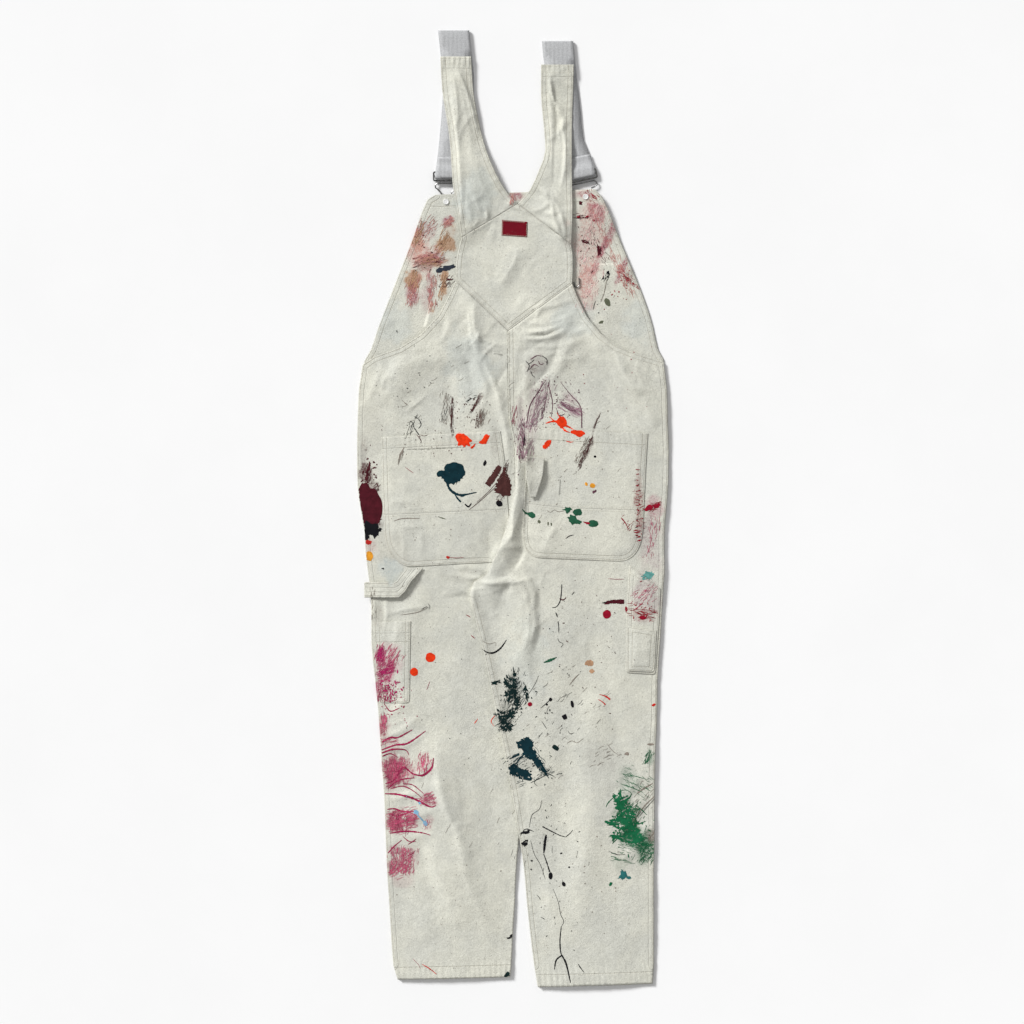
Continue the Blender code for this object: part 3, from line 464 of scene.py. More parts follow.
# Sewing that crosses a panel
ROWS = (
    Row(-208, -8, -12, 1),
    Row(-207, -13, -13, -4),
    Row(21, 11, 79, 4),
    Row(79, 4, 202, 0),
    Row(22, 5, 79, -2),
    Row(79, -2, 202, -6),
    Row(-118, 555, -104, 555),
    Row(-118, 551, -104, 551),
    Row(-13, 479, 8, 466),
    Row(8, 466, 34, 482),
    Row(-6, 488, 10, 474),
    Row(10, 474, 26, 487),
    Row(-134, 375, -136, 312),
    Row(-122, 372, -124, 316),
    Row(-128, 376, -130, 330),
    Row(150, 376, 140, 312),
    Row(130, 478, 150, 436),
    Row(150, 436, 163, 414),
    Row(-222, -214, -165, -213),
    Row(205, -78, 236, -118),
)

# The faint line that the sewing across a pocket presses into it
PRESSED = {
    "back_pocket_left": ((-208, -10.5), (-12, -1.5)),
    "back_pocket_right": ((21, 8), (79, 1), (202, -3)),
    "utility_pocket_left": ((-222, -214), (-165, -213)),
}

# Paint colours, as a screen shows them
PAINTS = {
    "orange_red": (222, 56, 20),
    "dark_teal": (12, 44, 52),
    "black_green": (14, 36, 36),
    "black": (20, 20, 24),
    "brown": (78, 46, 44),
    "maroon": (74, 20, 30),
    "crimson": (140, 14, 38),
    "rose": (146, 36, 74),
    "magenta": (160, 36, 90),
    "pink": (190, 88, 116),
    "dusty_pink": (196, 138, 130),
    "pale_pink": (222, 186, 182),
    "jade": (22, 96, 62),
    "green": (36, 84, 62),
    "pale_teal": (96, 152, 146),
    "sea_teal": (44, 104, 104),
    "tan": (178, 140, 110),
    "amber": (220, 150, 46),
    "warm_grey": (134, 124, 114),
    "pale_blue": (124, 168, 194),
    "olive": (92, 96, 78),
    "slate": (48, 54, 64),
    "mauve": (158, 124, 136),
    "plum": (96, 62, 74),
    "red": (186, 44, 36),
}

# Stains and dry smears that have soaked into the cloth
WASHES = painted(
    Wash,
    ("magenta", (-212, -236, 13, 16, 0, 0.86, 6), (-206, -260, 17, 18, 0, 0.74, 6),
     (-192, -244, 17, 24, 20, 0.46, 6), (-196, -222, 20, 9, 0, 0.34, 5)),
    ("rose", (-206, -290, 18, 22, 0, 0.5, 4)),
    ("magenta", (-216, -290, 7, 20, 0, 0.6, 4)),
    ("rose", (-210, -352, 12, 20, 0, 0.66, 5), (-196, -380, 16, 14, 0, 0.44, 4),
     (-192, -422, 20, 26, 0, 0.86, 5), (-172, -420, 16, 24, 0, 0.66, 5),
     (-142, -408, 16, 20, 20, 0.42, 4), (-134, -466, 13, 13, -20, 0.66, 4),
     (-186, -500, 18, 22, 0, 0.84, 5), (-164, -498, 14, 20, 0, 0.68, 5),
     (-134, -500, 8, 12, 0, 0.42, 4), (-190, -566, 14, 26, 0, 0.7, 5),
     (-168, -562, 15, 28, 0, 0.6, 5), (-176, -596, 20, 9, 0, 0.34, 5)),
    ("mauve", (36, 160, 14, 40, -10, 0.5, 4), (52, 178, 10, 30, -8, 0.42, 4),
     (94, 172, 16, 8, -40, 0.62, 5), (97, 154, 16, 8, -14, 0.6, 5)),
    ("plum", (13, 110, 8, 30, 4, 0.5, 4)),
    ("mauve", (12, 152, 9, 28, 0, 0.46, 4), (28, 116, 18, 12, 20, 0.36, 4)),
    ("plum", (38, 230, 20, 16, 40, 0.42, 3)),
    ("warm_grey", (26, 92, 9, 22, 10, 0.5, 4), (26, 196, 9, 36, -12, 0.34, 4)),
    ("brown", (-98, 148, 3.4, 26, 0, 0.66, 4)),
    ("warm_grey", (-108, 154, 9, 24, 0, 0.26, 3)),
    ("brown", (-58, 168, 3.4, 20, -34, 0.66, 4)),
    ("warm_grey", (-50, 150, 13, 20, 0, 0.28, 3)),
    ("brown", (-52, 134, 9, 9, 0, 0.26, 3), (131, 132, 3, 22, -20, 0.6, 3),
     (121, 96, 4, 20, -24, 0.66, 4), (114, 84, 4, 20, -24, 0.46, 4)),
    ("warm_grey", (-74, 106, 24, 16, 0, 0.3, 3), (-112, 92, 20, 20, 0, 0.24, 3),
     (-30, 104, 8, 24, 0, 0.4, 3)),
    ("maroon", (-236, 54, 12, 20, 0, 0.7, 5), (-238, 66, 7, 12, 0, 0.5, 5),
     (-222, 34, 12, 12, 0, 0.6, 4), (-220, -24, 16, 12, 0, 0.66, 5)),
    ("rose", (-228, -60, 14, 14, 0, 0.4, 5)),
    ("mauve", (222, -60, 22, 56, 0, 0.42, 6), (216, -140, 24, 38, 0, 0.46, 6)),
    ("crimson", (206, -172, 24, 12, 0, 0.44, 5), (201, 8, 8, 58, 0, 0.46, 4)),
    ("magenta", (226, 0, 14, 20, 0, 0.5, 5)),
    ("jade", (182, -492, 22, 34, 0, 0.5, 5), (196, -530, 28, 22, -20, 0.8, 5),
     (216, -548, 16, 26, -20, 0.62, 4), (186, -438, 22, 26, 30, 0.42, 5),
     (218, -396, 8, 14, 0, 0.6, 4), (172, -566, 18, 14, 0, 0.34, 4)),
    ("warm_grey", (222, -522, 9, 16, 20, 0.5, 4), (140, -400, 30, 30, 0, 0.2, 5)),
    ("black_green", (2, -288, 16, 30, 6, 0.6, 4), (-14, -334, 14, 24, 0, 0.6, 4),
     (18, -408, 22, 16, -30, 0.36, 4)),
    ("tan", (-153, 432, 12, 24, 10, 0.84, 6), (-108, 424, 18, 17, 0, 0.95, 6),
     (-110, 362, 7, 24, 0, 0.9, 5), (-160, 370, 16, 18, 0, 0.95, 6), (-130, 322, 5, 12, 0, 0.7, 5),
     (-128, 396, 28, 11, 0, 0.8, 5), (-100, 444, 10, 14, 0, 0.5, 5)),
    ("rose", (-142, 446, 24, 16, 0, 0.46, 6), (-104, 458, 10, 9, 0, 0.66, 5)),
    ("dusty_pink", (-148, 404, 26, 44, 0, 0.6, 6)),
    ("rose", (-162, 346, 12, 22, 0, 0.66, 6), (-140, 334, 12, 28, 0, 0.4, 5),
     (-132, 352, 7, 34, 0, 0.5, 5), (-126, 400, 24, 12, 0, 0.5, 6)),
    ("warm_grey", (-140, 388, 16, 9, 0, 0.4, 4), (-180, 396, 8, 50, -24, 0.3, 5)),
    ("rose", (8, 500, 16, 8, 0, 0.6, 4)),
    ("dusty_pink", (122, 430, 34, 80, 0, 0.5, 7)),
    ("rose", (152, 432, 8, 60, -24, 0.6, 6), (176, 386, 8, 34, -24, 0.66, 5)),
    ("maroon", (184, 366, 8, 20, -24, 0.5, 4)),
    ("rose", (112, 500, 18, 8, 0, 0.4, 5), (134, 474, 12, 22, 20, 0.5, 6)),
    ("dusty_pink", (120, 350, 22, 44, 0, 0.44, 6)),
    ("maroon", (-238, 90, 8, 30, 0, 0.36, 5)),
    ("warm_grey", (200, -20, 30, 60, 0, 0.2, 7), (-200, -70, 30, 30, 0, 0.26, 7),
     (-214, -170, 10, 24, 0, 0.42, 5), (-224, 130, 18, 60, 0, 0.2, 4)),
    ("pale_blue", (-200, -96, 22, 22, 0, 0.3, 6), (-60, 500, 30, 44, 0, 0.22, 7),
     (-70, 230, 40, 60, 0, 0.18, 7), (92, 300, 40, 26, 0, 0.18, 7), (-190, 300, 26, 40, 0, 0.2, 7),
     (200, 300, 26, 40, 0, 0.2, 7), (30, -230, 40, 60, 0, 0.14, 7)),
)

# Thick paint: blots, splashes with fine spikes, strokes and sprays of drops
BLOBS = painted(
    Blob,
    ("orange_red", (-79, 109, 12, 9.5, -30, 0.34), (-86, 114, 6, 7, 0, 0.2),
     (-44, 111, 4.6, 8.6, -30, 0.3), (-48, 106, 5, 4, 0, 0.3), (-64, 99, 5, 1.8, 40, 0.4),
     (78, 138, 7.6, 9.4, 0, 0.2), (104, 120.5, 10.5, 5.2, -8, 0.2), (55, 103, 4.4, 8, -38, 0.4),
     (50, 98, 3, 3, 0, 0.3), (-132, -238, 8, 7.4, 0, 0.07), (-158, -261, 6.6, 6.4, 0, 0.1)),
    ("dark_teal", (-94, 62, 16, 12, 0, 0.1), (-84, 57, 7.6, 8, 0, 0.1),
     (-115, 56, 8, 4.6, 14, 0.12), (-98, 50, 13, 9, 0, 0.16)),
    ("black", (-22, 8, 5.6, 4.6, -20, 0.1), (-45, 72.5, 2.5, 4.6, -15, 0.15),
     (131, 83, 2, 2, 0, 0.1)),
    ("maroon", (-226, 4, 17, 29, 8, 0.06), (-237, 10, 12, 32, 0, 0.1)),
    ("black", (-229, -30, 14, 12, 30, 0.22), (-236, -42, 6, 9, 0, 0.2)),
    ("red", (-231, -54, 5.4, 3.4, 0, 0.2)),
    ("amber", (-230, -76, 6.5, 7.6, 0, 0.14)),
    ("red", (-104, -78, 2.8, 2.4, 0, 0.3)),
    ("green", (30, -10.4, 6, 4.6, -36, 0.16), (103, -6, 8.2, 5, 0, 0.14),
     (128, -24, 8, 5.8, 0, 0.08)),
    ("olive", (41.6, -21, 2.2, 3, 0, 0.3), (56, -24, 1.2, 3, 0, 0.3), (61, -25, 1.2, 2.6, 0, 0.3)),
    ("amber", (127, 36.6, 4.4, 3.8, 0, 0.14), (117, 39, 2.4, 2.8, 0, 0.3)),
    ("plum", (130, 27, 4, 2, 35, 0.4)),
    ("crimson", (217, 1, 7, 4.2, 30, 0.2), (230, 4, 6, 3, 30, 0.3), (150, -169, 6.7, 6.9, 0, 0.06),
     (181, -161, 2.2, 4, 0, 0.3)),
    ("tan", (122, -247, 6, 5.6, 0, 0.3), (126, -260, 4, 3.4, 0, 0.3)),
    ("crimson", (27, -312.5, 3.6, 3.6, 0, 0.06)),
    ("black", (94.6, -312.5, 2.4, 6.2, 10, 0.14), (82.5, -333, 4, 4.4, 0, 0.26)),
    ("black_green", (68, -382, 6, 3.8, -35, 0.16)),
    ("black", (60, -305, 2.4, 3.4, -30, 0.3), (54, -313, 1.8, 1.8, 0, 0.3)),
    ("red", (225, -314, 3.6, 2, 30, 0.3)),
    ("warm_grey", (182, -392, 3.4, 2.8, 0, 0.2), (220, -377, 5.5, 1.8, 0, 0.2)),
    ("sea_teal", (185, -590, 4, 2.4, 0, 0.3)),
    ("jade", (156, -600, 2.4, 3.4, -30, 0.3)),
    ("black", (60, -587, 3.4, 5.6, 0, 0.1), (81, -600, 2.8, 4, 30, 0.1),
     (89.6, -573, 1.5, 1.5, 0, 0.1), (77, -551, 2.0, 1.2, 20, 0.2), (30, -563, 2.0, 1.4, 0, 0.3),
     (29, -577, 1.6, 1.4, 0, 0.3), (-2, -683, 4, 2, 40, 0.4)),
    ("black_green", (-9, -745, 5.4, 3.6, 36, 0.26)),
    ("pale_blue", (-155, -485, 4, 3.6, 0, 0.2), (-140, -503, 3.8, 4, 0, 0.2),
     (-149, -470, 2.6, 2.4, 0, 0.3), (-170, -460, 1.6, 1.4, 0, 0.3)),
    ("olive", (151, 330, 4.2, 7, 30, 0.08), (141, 298, 4, 2.2, 20, 0.3)),
    ("slate", (-118, 381, 5, 4.4, 0, 0.24)),
    ("maroon", (108, 488, 3, 3, 0, 0.4)),
    ("black", (152, 377, 2.4, 3, 0, 0.4), (144, 369, 1.8, 2.6, 0, 0.4),
     (-208, -96, 2.2, 1.2, 0, 0.4)),
)
SPLATS = painted(
    Splat,
    ("dark_teal", (-96, 50, 12, 9, 0, 12, 1.5, 0.16)),
    ("brown", (-12, 36, 7, 14, -14, 10, 1.4, 0.3)),
    ("maroon", (-224, -20, 10, 8, 30, 12, 1.6, 0.3)),
    ("black", (-222, -34, 8, 8, 20, 9, 1.6, 0.2)),
    ("green", (88, -2, 5, 3.6, 20, 9, 1.6), (97, -19, 9, 5, -20, 12, 1.5)),
    ("pale_teal", (217, -107, 7.5, 5.5, 24, 10, 1.6)),
    ("crimson", (208, -174, 6, 2.6, -6, 9, 1.7, 0.2)),
    ("maroon", (114, 427, 5, 2, -20, 8, 2.0, 0.3), (137, 414, 2.4, 7, 14, 9, 1.7, 0.3)),
    ("crimson", (118, 466, 3.4, 1.2, 20, 6, 1.8, 0.2), (104, 466, 2.2, 1.2, 0, 5, 1.8, 0.2),
     (129, 460, 2.2, 1.4, -40, 5, 1.8, 0.2)),
    ("maroon", (-102, 366, 4, 1.4, 0, 6, 1.8, 0.3)),
    ("black_green", (-27, -278, 7.4, 3.2, 14, 8, 1.5, 0.5), (0, -286, 7, 11, 20, 20, 1.7, 0.5),
     (2, -270, 3.2, 9, -4, 12, 1.8, 0.5), (-6, -298, 5, 6, 30, 14, 1.8, 0.5),
     (6, -312, 4, 9, -10, 14, 1.7, 0.5), (20, -290, 3.4, 11, 16, 14, 1.5, 0.5),
     (-16, -334, 8, 9, 20, 18, 1.6, 0.5), (-10, -348, 9, 6.6, 0, 18, 1.5, 0.5),
     (-2, -328, 5, 6, 0, 12, 1.8, 0.5)),
    ("dark_teal", (20, -377, 11.5, 10.5, 0, 14, 1.25, 0.16), (27, -391, 10, 8, -40, 14, 1.4, 0.16),
     (38, -404, 9, 4.6, -52, 18, 1.7, 0.16), (48, -416, 8, 3, -52, 16, 1.8, 0.16),
     (12, -423, 12, 8.6, 4, 20, 1.4, 0.16), (1, -417, 6, 9, 0, 14, 1.5, 0.16)),
    ("black_green", (74, -424, 2.4, 1.8, 0, 8, 2.2, 0.5)),
    ("jade", (170, -470, 8, 12, 14, 18, 1.7, 0.5), (180, -484, 12, 12, 0, 22, 1.6, 0.5),
     (172, -502, 13, 10, 0, 22, 1.6, 0.5), (190, -512, 11, 9, -20, 20, 1.7, 0.5),
     (166, -522, 8, 7, 0, 18, 1.8, 0.5), (196, -528, 10, 6, -20, 18, 1.9, 0.5)),
    ("sea_teal", (177, -586, 5, 6, -30, 10, 1.7)),
    ("black", (20, -517, 7, 2.0, 12, 12, 1.6, 0.2), (19, -535, 4.0, 5.4, -30, 9, 1.4, 0.2),
     (-6, -687, 4, 1.2, 10, 7, 2.0, 0.2)),
    ("slate", (-104, 385, 11, 3.4, 14, 12, 1.4)),
)
STROKES = painted(
    Stroke,
    ("dark_teal", (3.8, 3.6, 1.4, ((-107, 46), (-101, 31), (-90, 23), (-78, 22), (-58, 26))),
     (2.4, 2.0, 2.6, ((-94, 26), (-90, 18), (-83, 10))),
     (3.0, 3.4, 1.0, ((-90, 24), (-82, 20), (-76, 21)))),
    ("black", (1.6, 3.0, 1.4, ((-77, 7), (-71, 3), (-66, 9)))),
    ("brown", (7, 10, 9, ((-21, 68), (-29, 54), (-41, 37))),
     (3, 16, 22, ((-13, 66), (-15, 45), (-20, 22))), (10, 11, 10, ((-9, 46), (-9, 34), (-10, 20))),
     (0.6, 1.0, 0.5, ((-70, -2), (-48, 16), (-24, 38))),
     (0.4, 0.8, 0.4, ((-58, 10), (-40, 26), (-26, 42)))),
    ("orange_red", (1.0, 2.2, 4.6, ((52, 136), (62, 139), (73, 139))),
     (0.8, 1.4, 3.6, ((58, 147), (66, 140), (74, 136))),
     (3.6, 2.0, 0.8, ((83, 133), (92, 129), (98, 125))),
     (3.0, 1.4, 0.6, ((76, 146), (72, 150), (70, 154))),
     (3.4, 2.2, 1.0, ((78, 130), (84, 124), (92, 121))),
     (0.6, 1.6, 0.6, ((84, 108), (92, 106), (97, 107)))),
    ("plum", (0.7, 1.5, 1.4, ((53, 206), (40, 186), (27, 164), (22, 136))),
     (1.4, 1.2, 0.8, ((56, 200), (63, 170), (61, 145))),
     (0.6, 1.3, 1.8, ((76, 202), (92, 182), (108, 162), (110, 128))),
     (0.8, 2.0, 0.8, ((76, 172), (84, 162), (96, 156), (108, 162))),
     (0.8, 1.6, 0.8, ((70, 158), (74, 148), (84, 152)))),
    ("black", (1.2, 3.2, 1.0, ((18, 118), (18, 108), (16, 98)))),
    ("plum", (1.0, 1.6, 0.6, ((28, 238), (38, 244), (46, 243)))),
    ("black", (0.8, 1.6, 0.6, ((46, 244), (54, 238), (54, 228)))),
    ("plum", (0.8, 1.6, 0.6, ((26, 222), (34, 230), (42, 226)))),
    ("black", (0.6, 1.4, 0.5, ((20, 236), (26, 228), (22, 218))),
     (0.6, 1.3, 0.5, ((28, 220), (31, 213), (36, 209)))),
    ("plum", (0.6, 1.3, 0.5, ((40, 236), (44, 230), (50, 232)))),
    ("black", (0.6, 1.3, 0.5, ((24, 230), (30, 234), (34, 238))),
     (0.7, 1.6, 0.6, ((-158, 147), (-151, 143), (-147, 134), (-152, 127))),
     (0.6, 1.8, 0.8, ((-160, 132), (-154, 123), (-148, 114))),
     (0.6, 1.4, 0.5, ((-164, 140), (-160, 136), (-158, 130)))),
    ("maroon", (0.6, 1.8, 0.6, ((-154, 118), (-149, 112), (-146, 106)))),
    ("brown", (0.5, 1.0, 0.5, ((-150, 118), (-142, 116), (-136, 118)))),
    ("warm_grey", (0.8, 2.6, 0.8, ((-174, 98), (-180, 86), (-183, 76))),
     (0.5, 1.2, 0.5, ((-178, 174), (-172, 168), (-166, 164)))),
    ("crimson", (0.5, 0.9, 0.4, ((-101, -78), (-90, -79), (-78, -78))),
     (0.4, 0.9, 0.4, ((-172, 66), (-164, 60), (-158, 56)))),
    ("green", (1.0, 2.8, 4.4, ((15, -1), (20, -7), (28, -9)))),
    ("crimson", (0.8, 2.6, 4.4, ((112, -21), (117, -23), (124, -24)))),
    ("warm_grey", (0.5, 0.9, 0.4, ((54, -3), (60, -6), (66, -2), (72, -5), (82, -4)))),
    ("crimson", (1.8, 1.4, 0.6, ((173, -15), (180, -24), (184, -33)))),
    ("black", (0.5, 1.8, 0.5, ((84, -48), (90, -44), (98, -42)))),
    ("olive", (0.8, 1.8, 0.6, ((-120, -13), (-114, -15), (-107, -17)))),
    ("warm_grey", (0.8, 1.6, 0.6, ((-190, -20), (-176, -16), (-148, -16)))),
    ("rose", (0.4, 1.0, 0.4, ((152, -112), (164, -113), (178, -113)))),
    ("black", (1.0, 1.8, 0.8, ((78, -121), (77, -136), (75, -148), (69, -157), (61, -158)))),
    ("maroon", (0.8, 2.4, 0.8, ((74, -144), (80, -146), (86, -141)))),
    ("black", (0.8, 1.6, 0.6, ((94, -138), (97, -134), (99, -132))),
     (1.0, 2.6, 1.0, ((68, -166), (70, -170), (71, -175))),
     (0.8, 1.4, 0.8, ((72, -180), (73, -190), (73, -198))),
     (0.6, 0.9, 0.4, ((71, -207), (74, -213), (80, -216), (76, -222))),
     (0.8, 4.0, 0.7, ((-49, -225), (-40, -230), (-30, -230), (-19, -222), (-10, -209)))),
    ("warm_grey", (0.5, 0.8, 0.4, ((-48, -212), (-38, -216), (-28, -214), (-28, -220)))),
    ("crimson", (0.8, 1.9, 0.6, ((-75, -170), (-71, -172), (-67, -175))),
     (0.7, 1.6, 0.6, ((-67, -203), (-63, -206), (-60, -209)))),
    ("warm_grey", (0.5, 1.4, 0.5, ((-180, -170), (-164, -168), (-150, -165), (-136, -158)))),
    ("black", (0.5, 1.0, 0.5, ((-146, -161), (-138, -157), (-134, -160))),
     (0.4, 0.9, 0.4, ((-136, -152), (-133, -156), (-134, -161)))),
    ("maroon", (3.0, 6.0, 7.0, ((146, -152), (158, -149), (178, -149)))),
    ("black", (0.8, 3.0, 2.0, ((142, -151), (150, -150), (160, -148)))),
    ("green", (0.8, 6.6, 0.8, ((49, -246), (60, -242), (71, -237)))),
    ("black", (0.5, 0.9, 0.4, ((3, -328), (18, -306), (34, -282), (41, -266)))),
    ("black_green", (3.0, 2.0, 0.6, ((3, -268), (1, -260), (0, -252)))),
    ("dark_teal", (1.6, 2.6, 1.4, ((4, -408), (12, -398), (20, -390))),
     (3.0, 3.0, 0.8, ((10, -392), (2, -396), (-6, -400)))),
    ("black_green", (0.6, 1.4, 0.4, ((28, -438), (42, -431), (56, -424))),
     (0.6, 1.4, 0.4, ((46, -420), (58, -424), (68, -430))),
     (0.5, 1.0, 0.4, ((38, -432), (34, -438), (40, -444)))),
    ("black", (0.5, 1.2, 0.8, ((44, -319), (52, -312), (60, -305)))),
    ("warm_grey", (0.5, 1.0, 0.4, ((86, -375), (94, -371), (102, -374), (110, -369)))),
    ("black", (0.5, 1.0, 0.4, ((88, -356), (92, -360), (98, -358))),
     (0.5, 1.0, 0.4, ((46, -340), (50, -346), (54, -352)))),
    ("red", (0.6, 1.8, 2.8, ((138, -297), (148, -300), (156, -306))),
     (0.6, 1.2, 2.2, ((136, -305), (143, -309), (148, -314)))),
    ("warm_grey", (0.5, 2.2, 0.6, ((90, -282), (98, -272), (106, -264))),
     (0.5, 0.9, 0.4, ((150, -376), (160, -388), (172, -396)))),
    ("jade", (0.8, 2.0, 0.6, ((160, -462), (152, -470), (148, -478))),
     (0.8, 3.4, 0.6, ((176, -468), (186, -462), (190, -454))),
     (0.6, 2.0, 0.6, ((196, -474), (206, -482), (214, -490))),
     (0.6, 3.6, 0.6, ((186, -500), (200, -504), (212, -500))),
     (0.6, 1.4, 0.5, ((172, -440), (190, -446), (208, -454))),
     (0.5, 1.2, 0.4, ((176, -424), (196, -428), (218, -434))),
     (0.5, 1.2, 0.4, ((168, -452), (182, -450), (192, -458)))),
    ("warm_grey", (1.6, 3.2, 1.0, ((199, -455), (210, -447), (224, -439))),
     (1.4, 1.8, 0.6, ((226, -460), (208, -478), (190, -502)))),
    ("black", (0.5, 1.0, 0.4, ((226, -464), (212, -480), (202, -492))),
     (0.8, 1.2, 0.4, ((154, -548), (166, -553), (180, -553))),
     (2.0, 1.4, 1.0, ((47, -508), (60, -515), (74, -522), (84, -525))),
     (1.0, 1.2, 0.6, ((84, -525), (91, -519), (96, -513))),
     (1.8, 5.6, 1.4, ((53, -521), (51, -534), (49, -552))),
     (1.4, 1.0, 2.4, ((49, -552), (54, -566), (59, -582))),
     (0.4, 0.8, 0.4, ((28, -530), (34, -552), (44, -570), (52, -594))),
     (0.4, 0.8, 0.4, ((46, -466), (42, -480), (30, -490), (26, -510))),
     (0.6, 1.6, 0.6, ((12, -522), (20, -512), (34, -516))),
     (0.4, 0.8, 0.7, ((64, -608), (72, -628), (76, -648), (81, -660), (77, -668))),
     (1.0, 1.8, 1.6, ((77, -668), (75, -690), (76, -708), (78, -714))),
     (2.2, 2.4, 1.0, ((78, -714), (69, -722), (66, -738))),
     (2.2, 2.4, 1.2, ((78, -714), (85, -728), (92, -758))),
     (0.7, 1.8, 0.5, ((104, -728), (108, -734), (114, -742))),
     (0.4, 1.2, 0.4, ((38, -618), (42, -622), (44, -626))),
     (0.4, 1.2, 0.4, ((44, -653), (48, -655), (51, -657)))),
    ("red", (0.5, 2.0, 0.7, ((-146, -728), (-134, -735), (-121, -745)))),
    ("rose", (0.4, 0.8, 0.4, ((-160, -720), (-152, -728), (-148, -736)))),
    ("pale_blue", (2.2, 1.6, 2.2, ((-155, -486), (-148, -494), (-141, -502)))),
    ("rose", (1.8, 3.2, 1.0, ((-210, -374), (-196, -366), (-184, -366), (-160, -353))),
     (1.8, 3.4, 1.2, ((-210, -386), (-188, -378), (-168, -375), (-139, -355))),
     (2.4, 2.6, 0.8, ((-210, -391), (-192, -385), (-172, -386), (-166, -395))),
     (1.6, 2.0, 0.8, ((-209, -396), (-196, -392), (-184, -398))),
     (1.4, 3.2, 1.2, ((-204, -440), (-190, -434), (-176, -414), (-160, -424), (-144, -428))),
     (1.6, 4.2, 1.6, ((-160, -424), (-144, -426), (-130, -414), (-127, -398))),
     (1.2, 2.4, 1.2, ((-200, -448), (-186, -436), (-172, -432), (-156, -430))),
     (1.6, 4.0, 1.6, ((-205, -456), (-184, -457), (-160, -463), (-133, -476), (-123, -474))),
     (1.0, 2.2, 0.8, ((-196, -448), (-176, -444), (-158, -452), (-146, -462))),
     (1.0, 1.8, 0.8, ((-176, -440), (-160, -442), (-142, -456))),
     (1.6, 3.2, 1.0, ((-201, -481), (-190, -480), (-176, -484), (-158, -484))),
     (1.0, 2.0, 0.8, ((-198, -488), (-184, -492), (-166, -486), (-152, -492))),
     (1.4, 2.8, 1.0, ((-197, -519), (-170, -516), (-146, -518), (-131, -522))),
     (1.2, 2.4, 0.8, ((-200, -551), (-190, -540), (-178, -530))),
     (0.8, 2.0, 0.6, ((-168, -537), (-160, -532), (-154, -527))),
     (0.8, 2.0, 0.6, ((-176, -524), (-166, -532), (-154, -532))),
     (0.8, 1.8, 0.6, ((-170, -556), (-160, -551), (-156, -546))),
     (0.8, 2.2, 0.8, ((-206, -312), (-196, -324), (-180, -318))),
     (0.6, 1.4, 0.6, ((-212, -300), (-200, -308), (-186, -306)))),
    ("orange_red", (0.5, 1.4, 0.5, ((-30, -348), (-35, -340), (-28, -330))),
     (0.5, 1.6, 0.5, ((-62, -344), (-59, -340), (-56, -336)))),
    ("rose", (0.4, 0.9, 0.4, ((-138, -290), (-135, -282), (-133, -276)))),
    ("crimson", (0.6, 2.0, 0.6, ((124, 504), (127, 501), (130, 498)))),
    ("black", (0.5, 1.2, 0.5, ((128, 318), (130, 326), (132, 332)))),
    ("warm_grey", (0.5, 1.2, 0.5, ((150, 366), (146, 346), (140, 330)))),
    ("maroon", (0.5, 1.6, 0.6, ((172, 372), (182, 370), (190, 362)))),
)
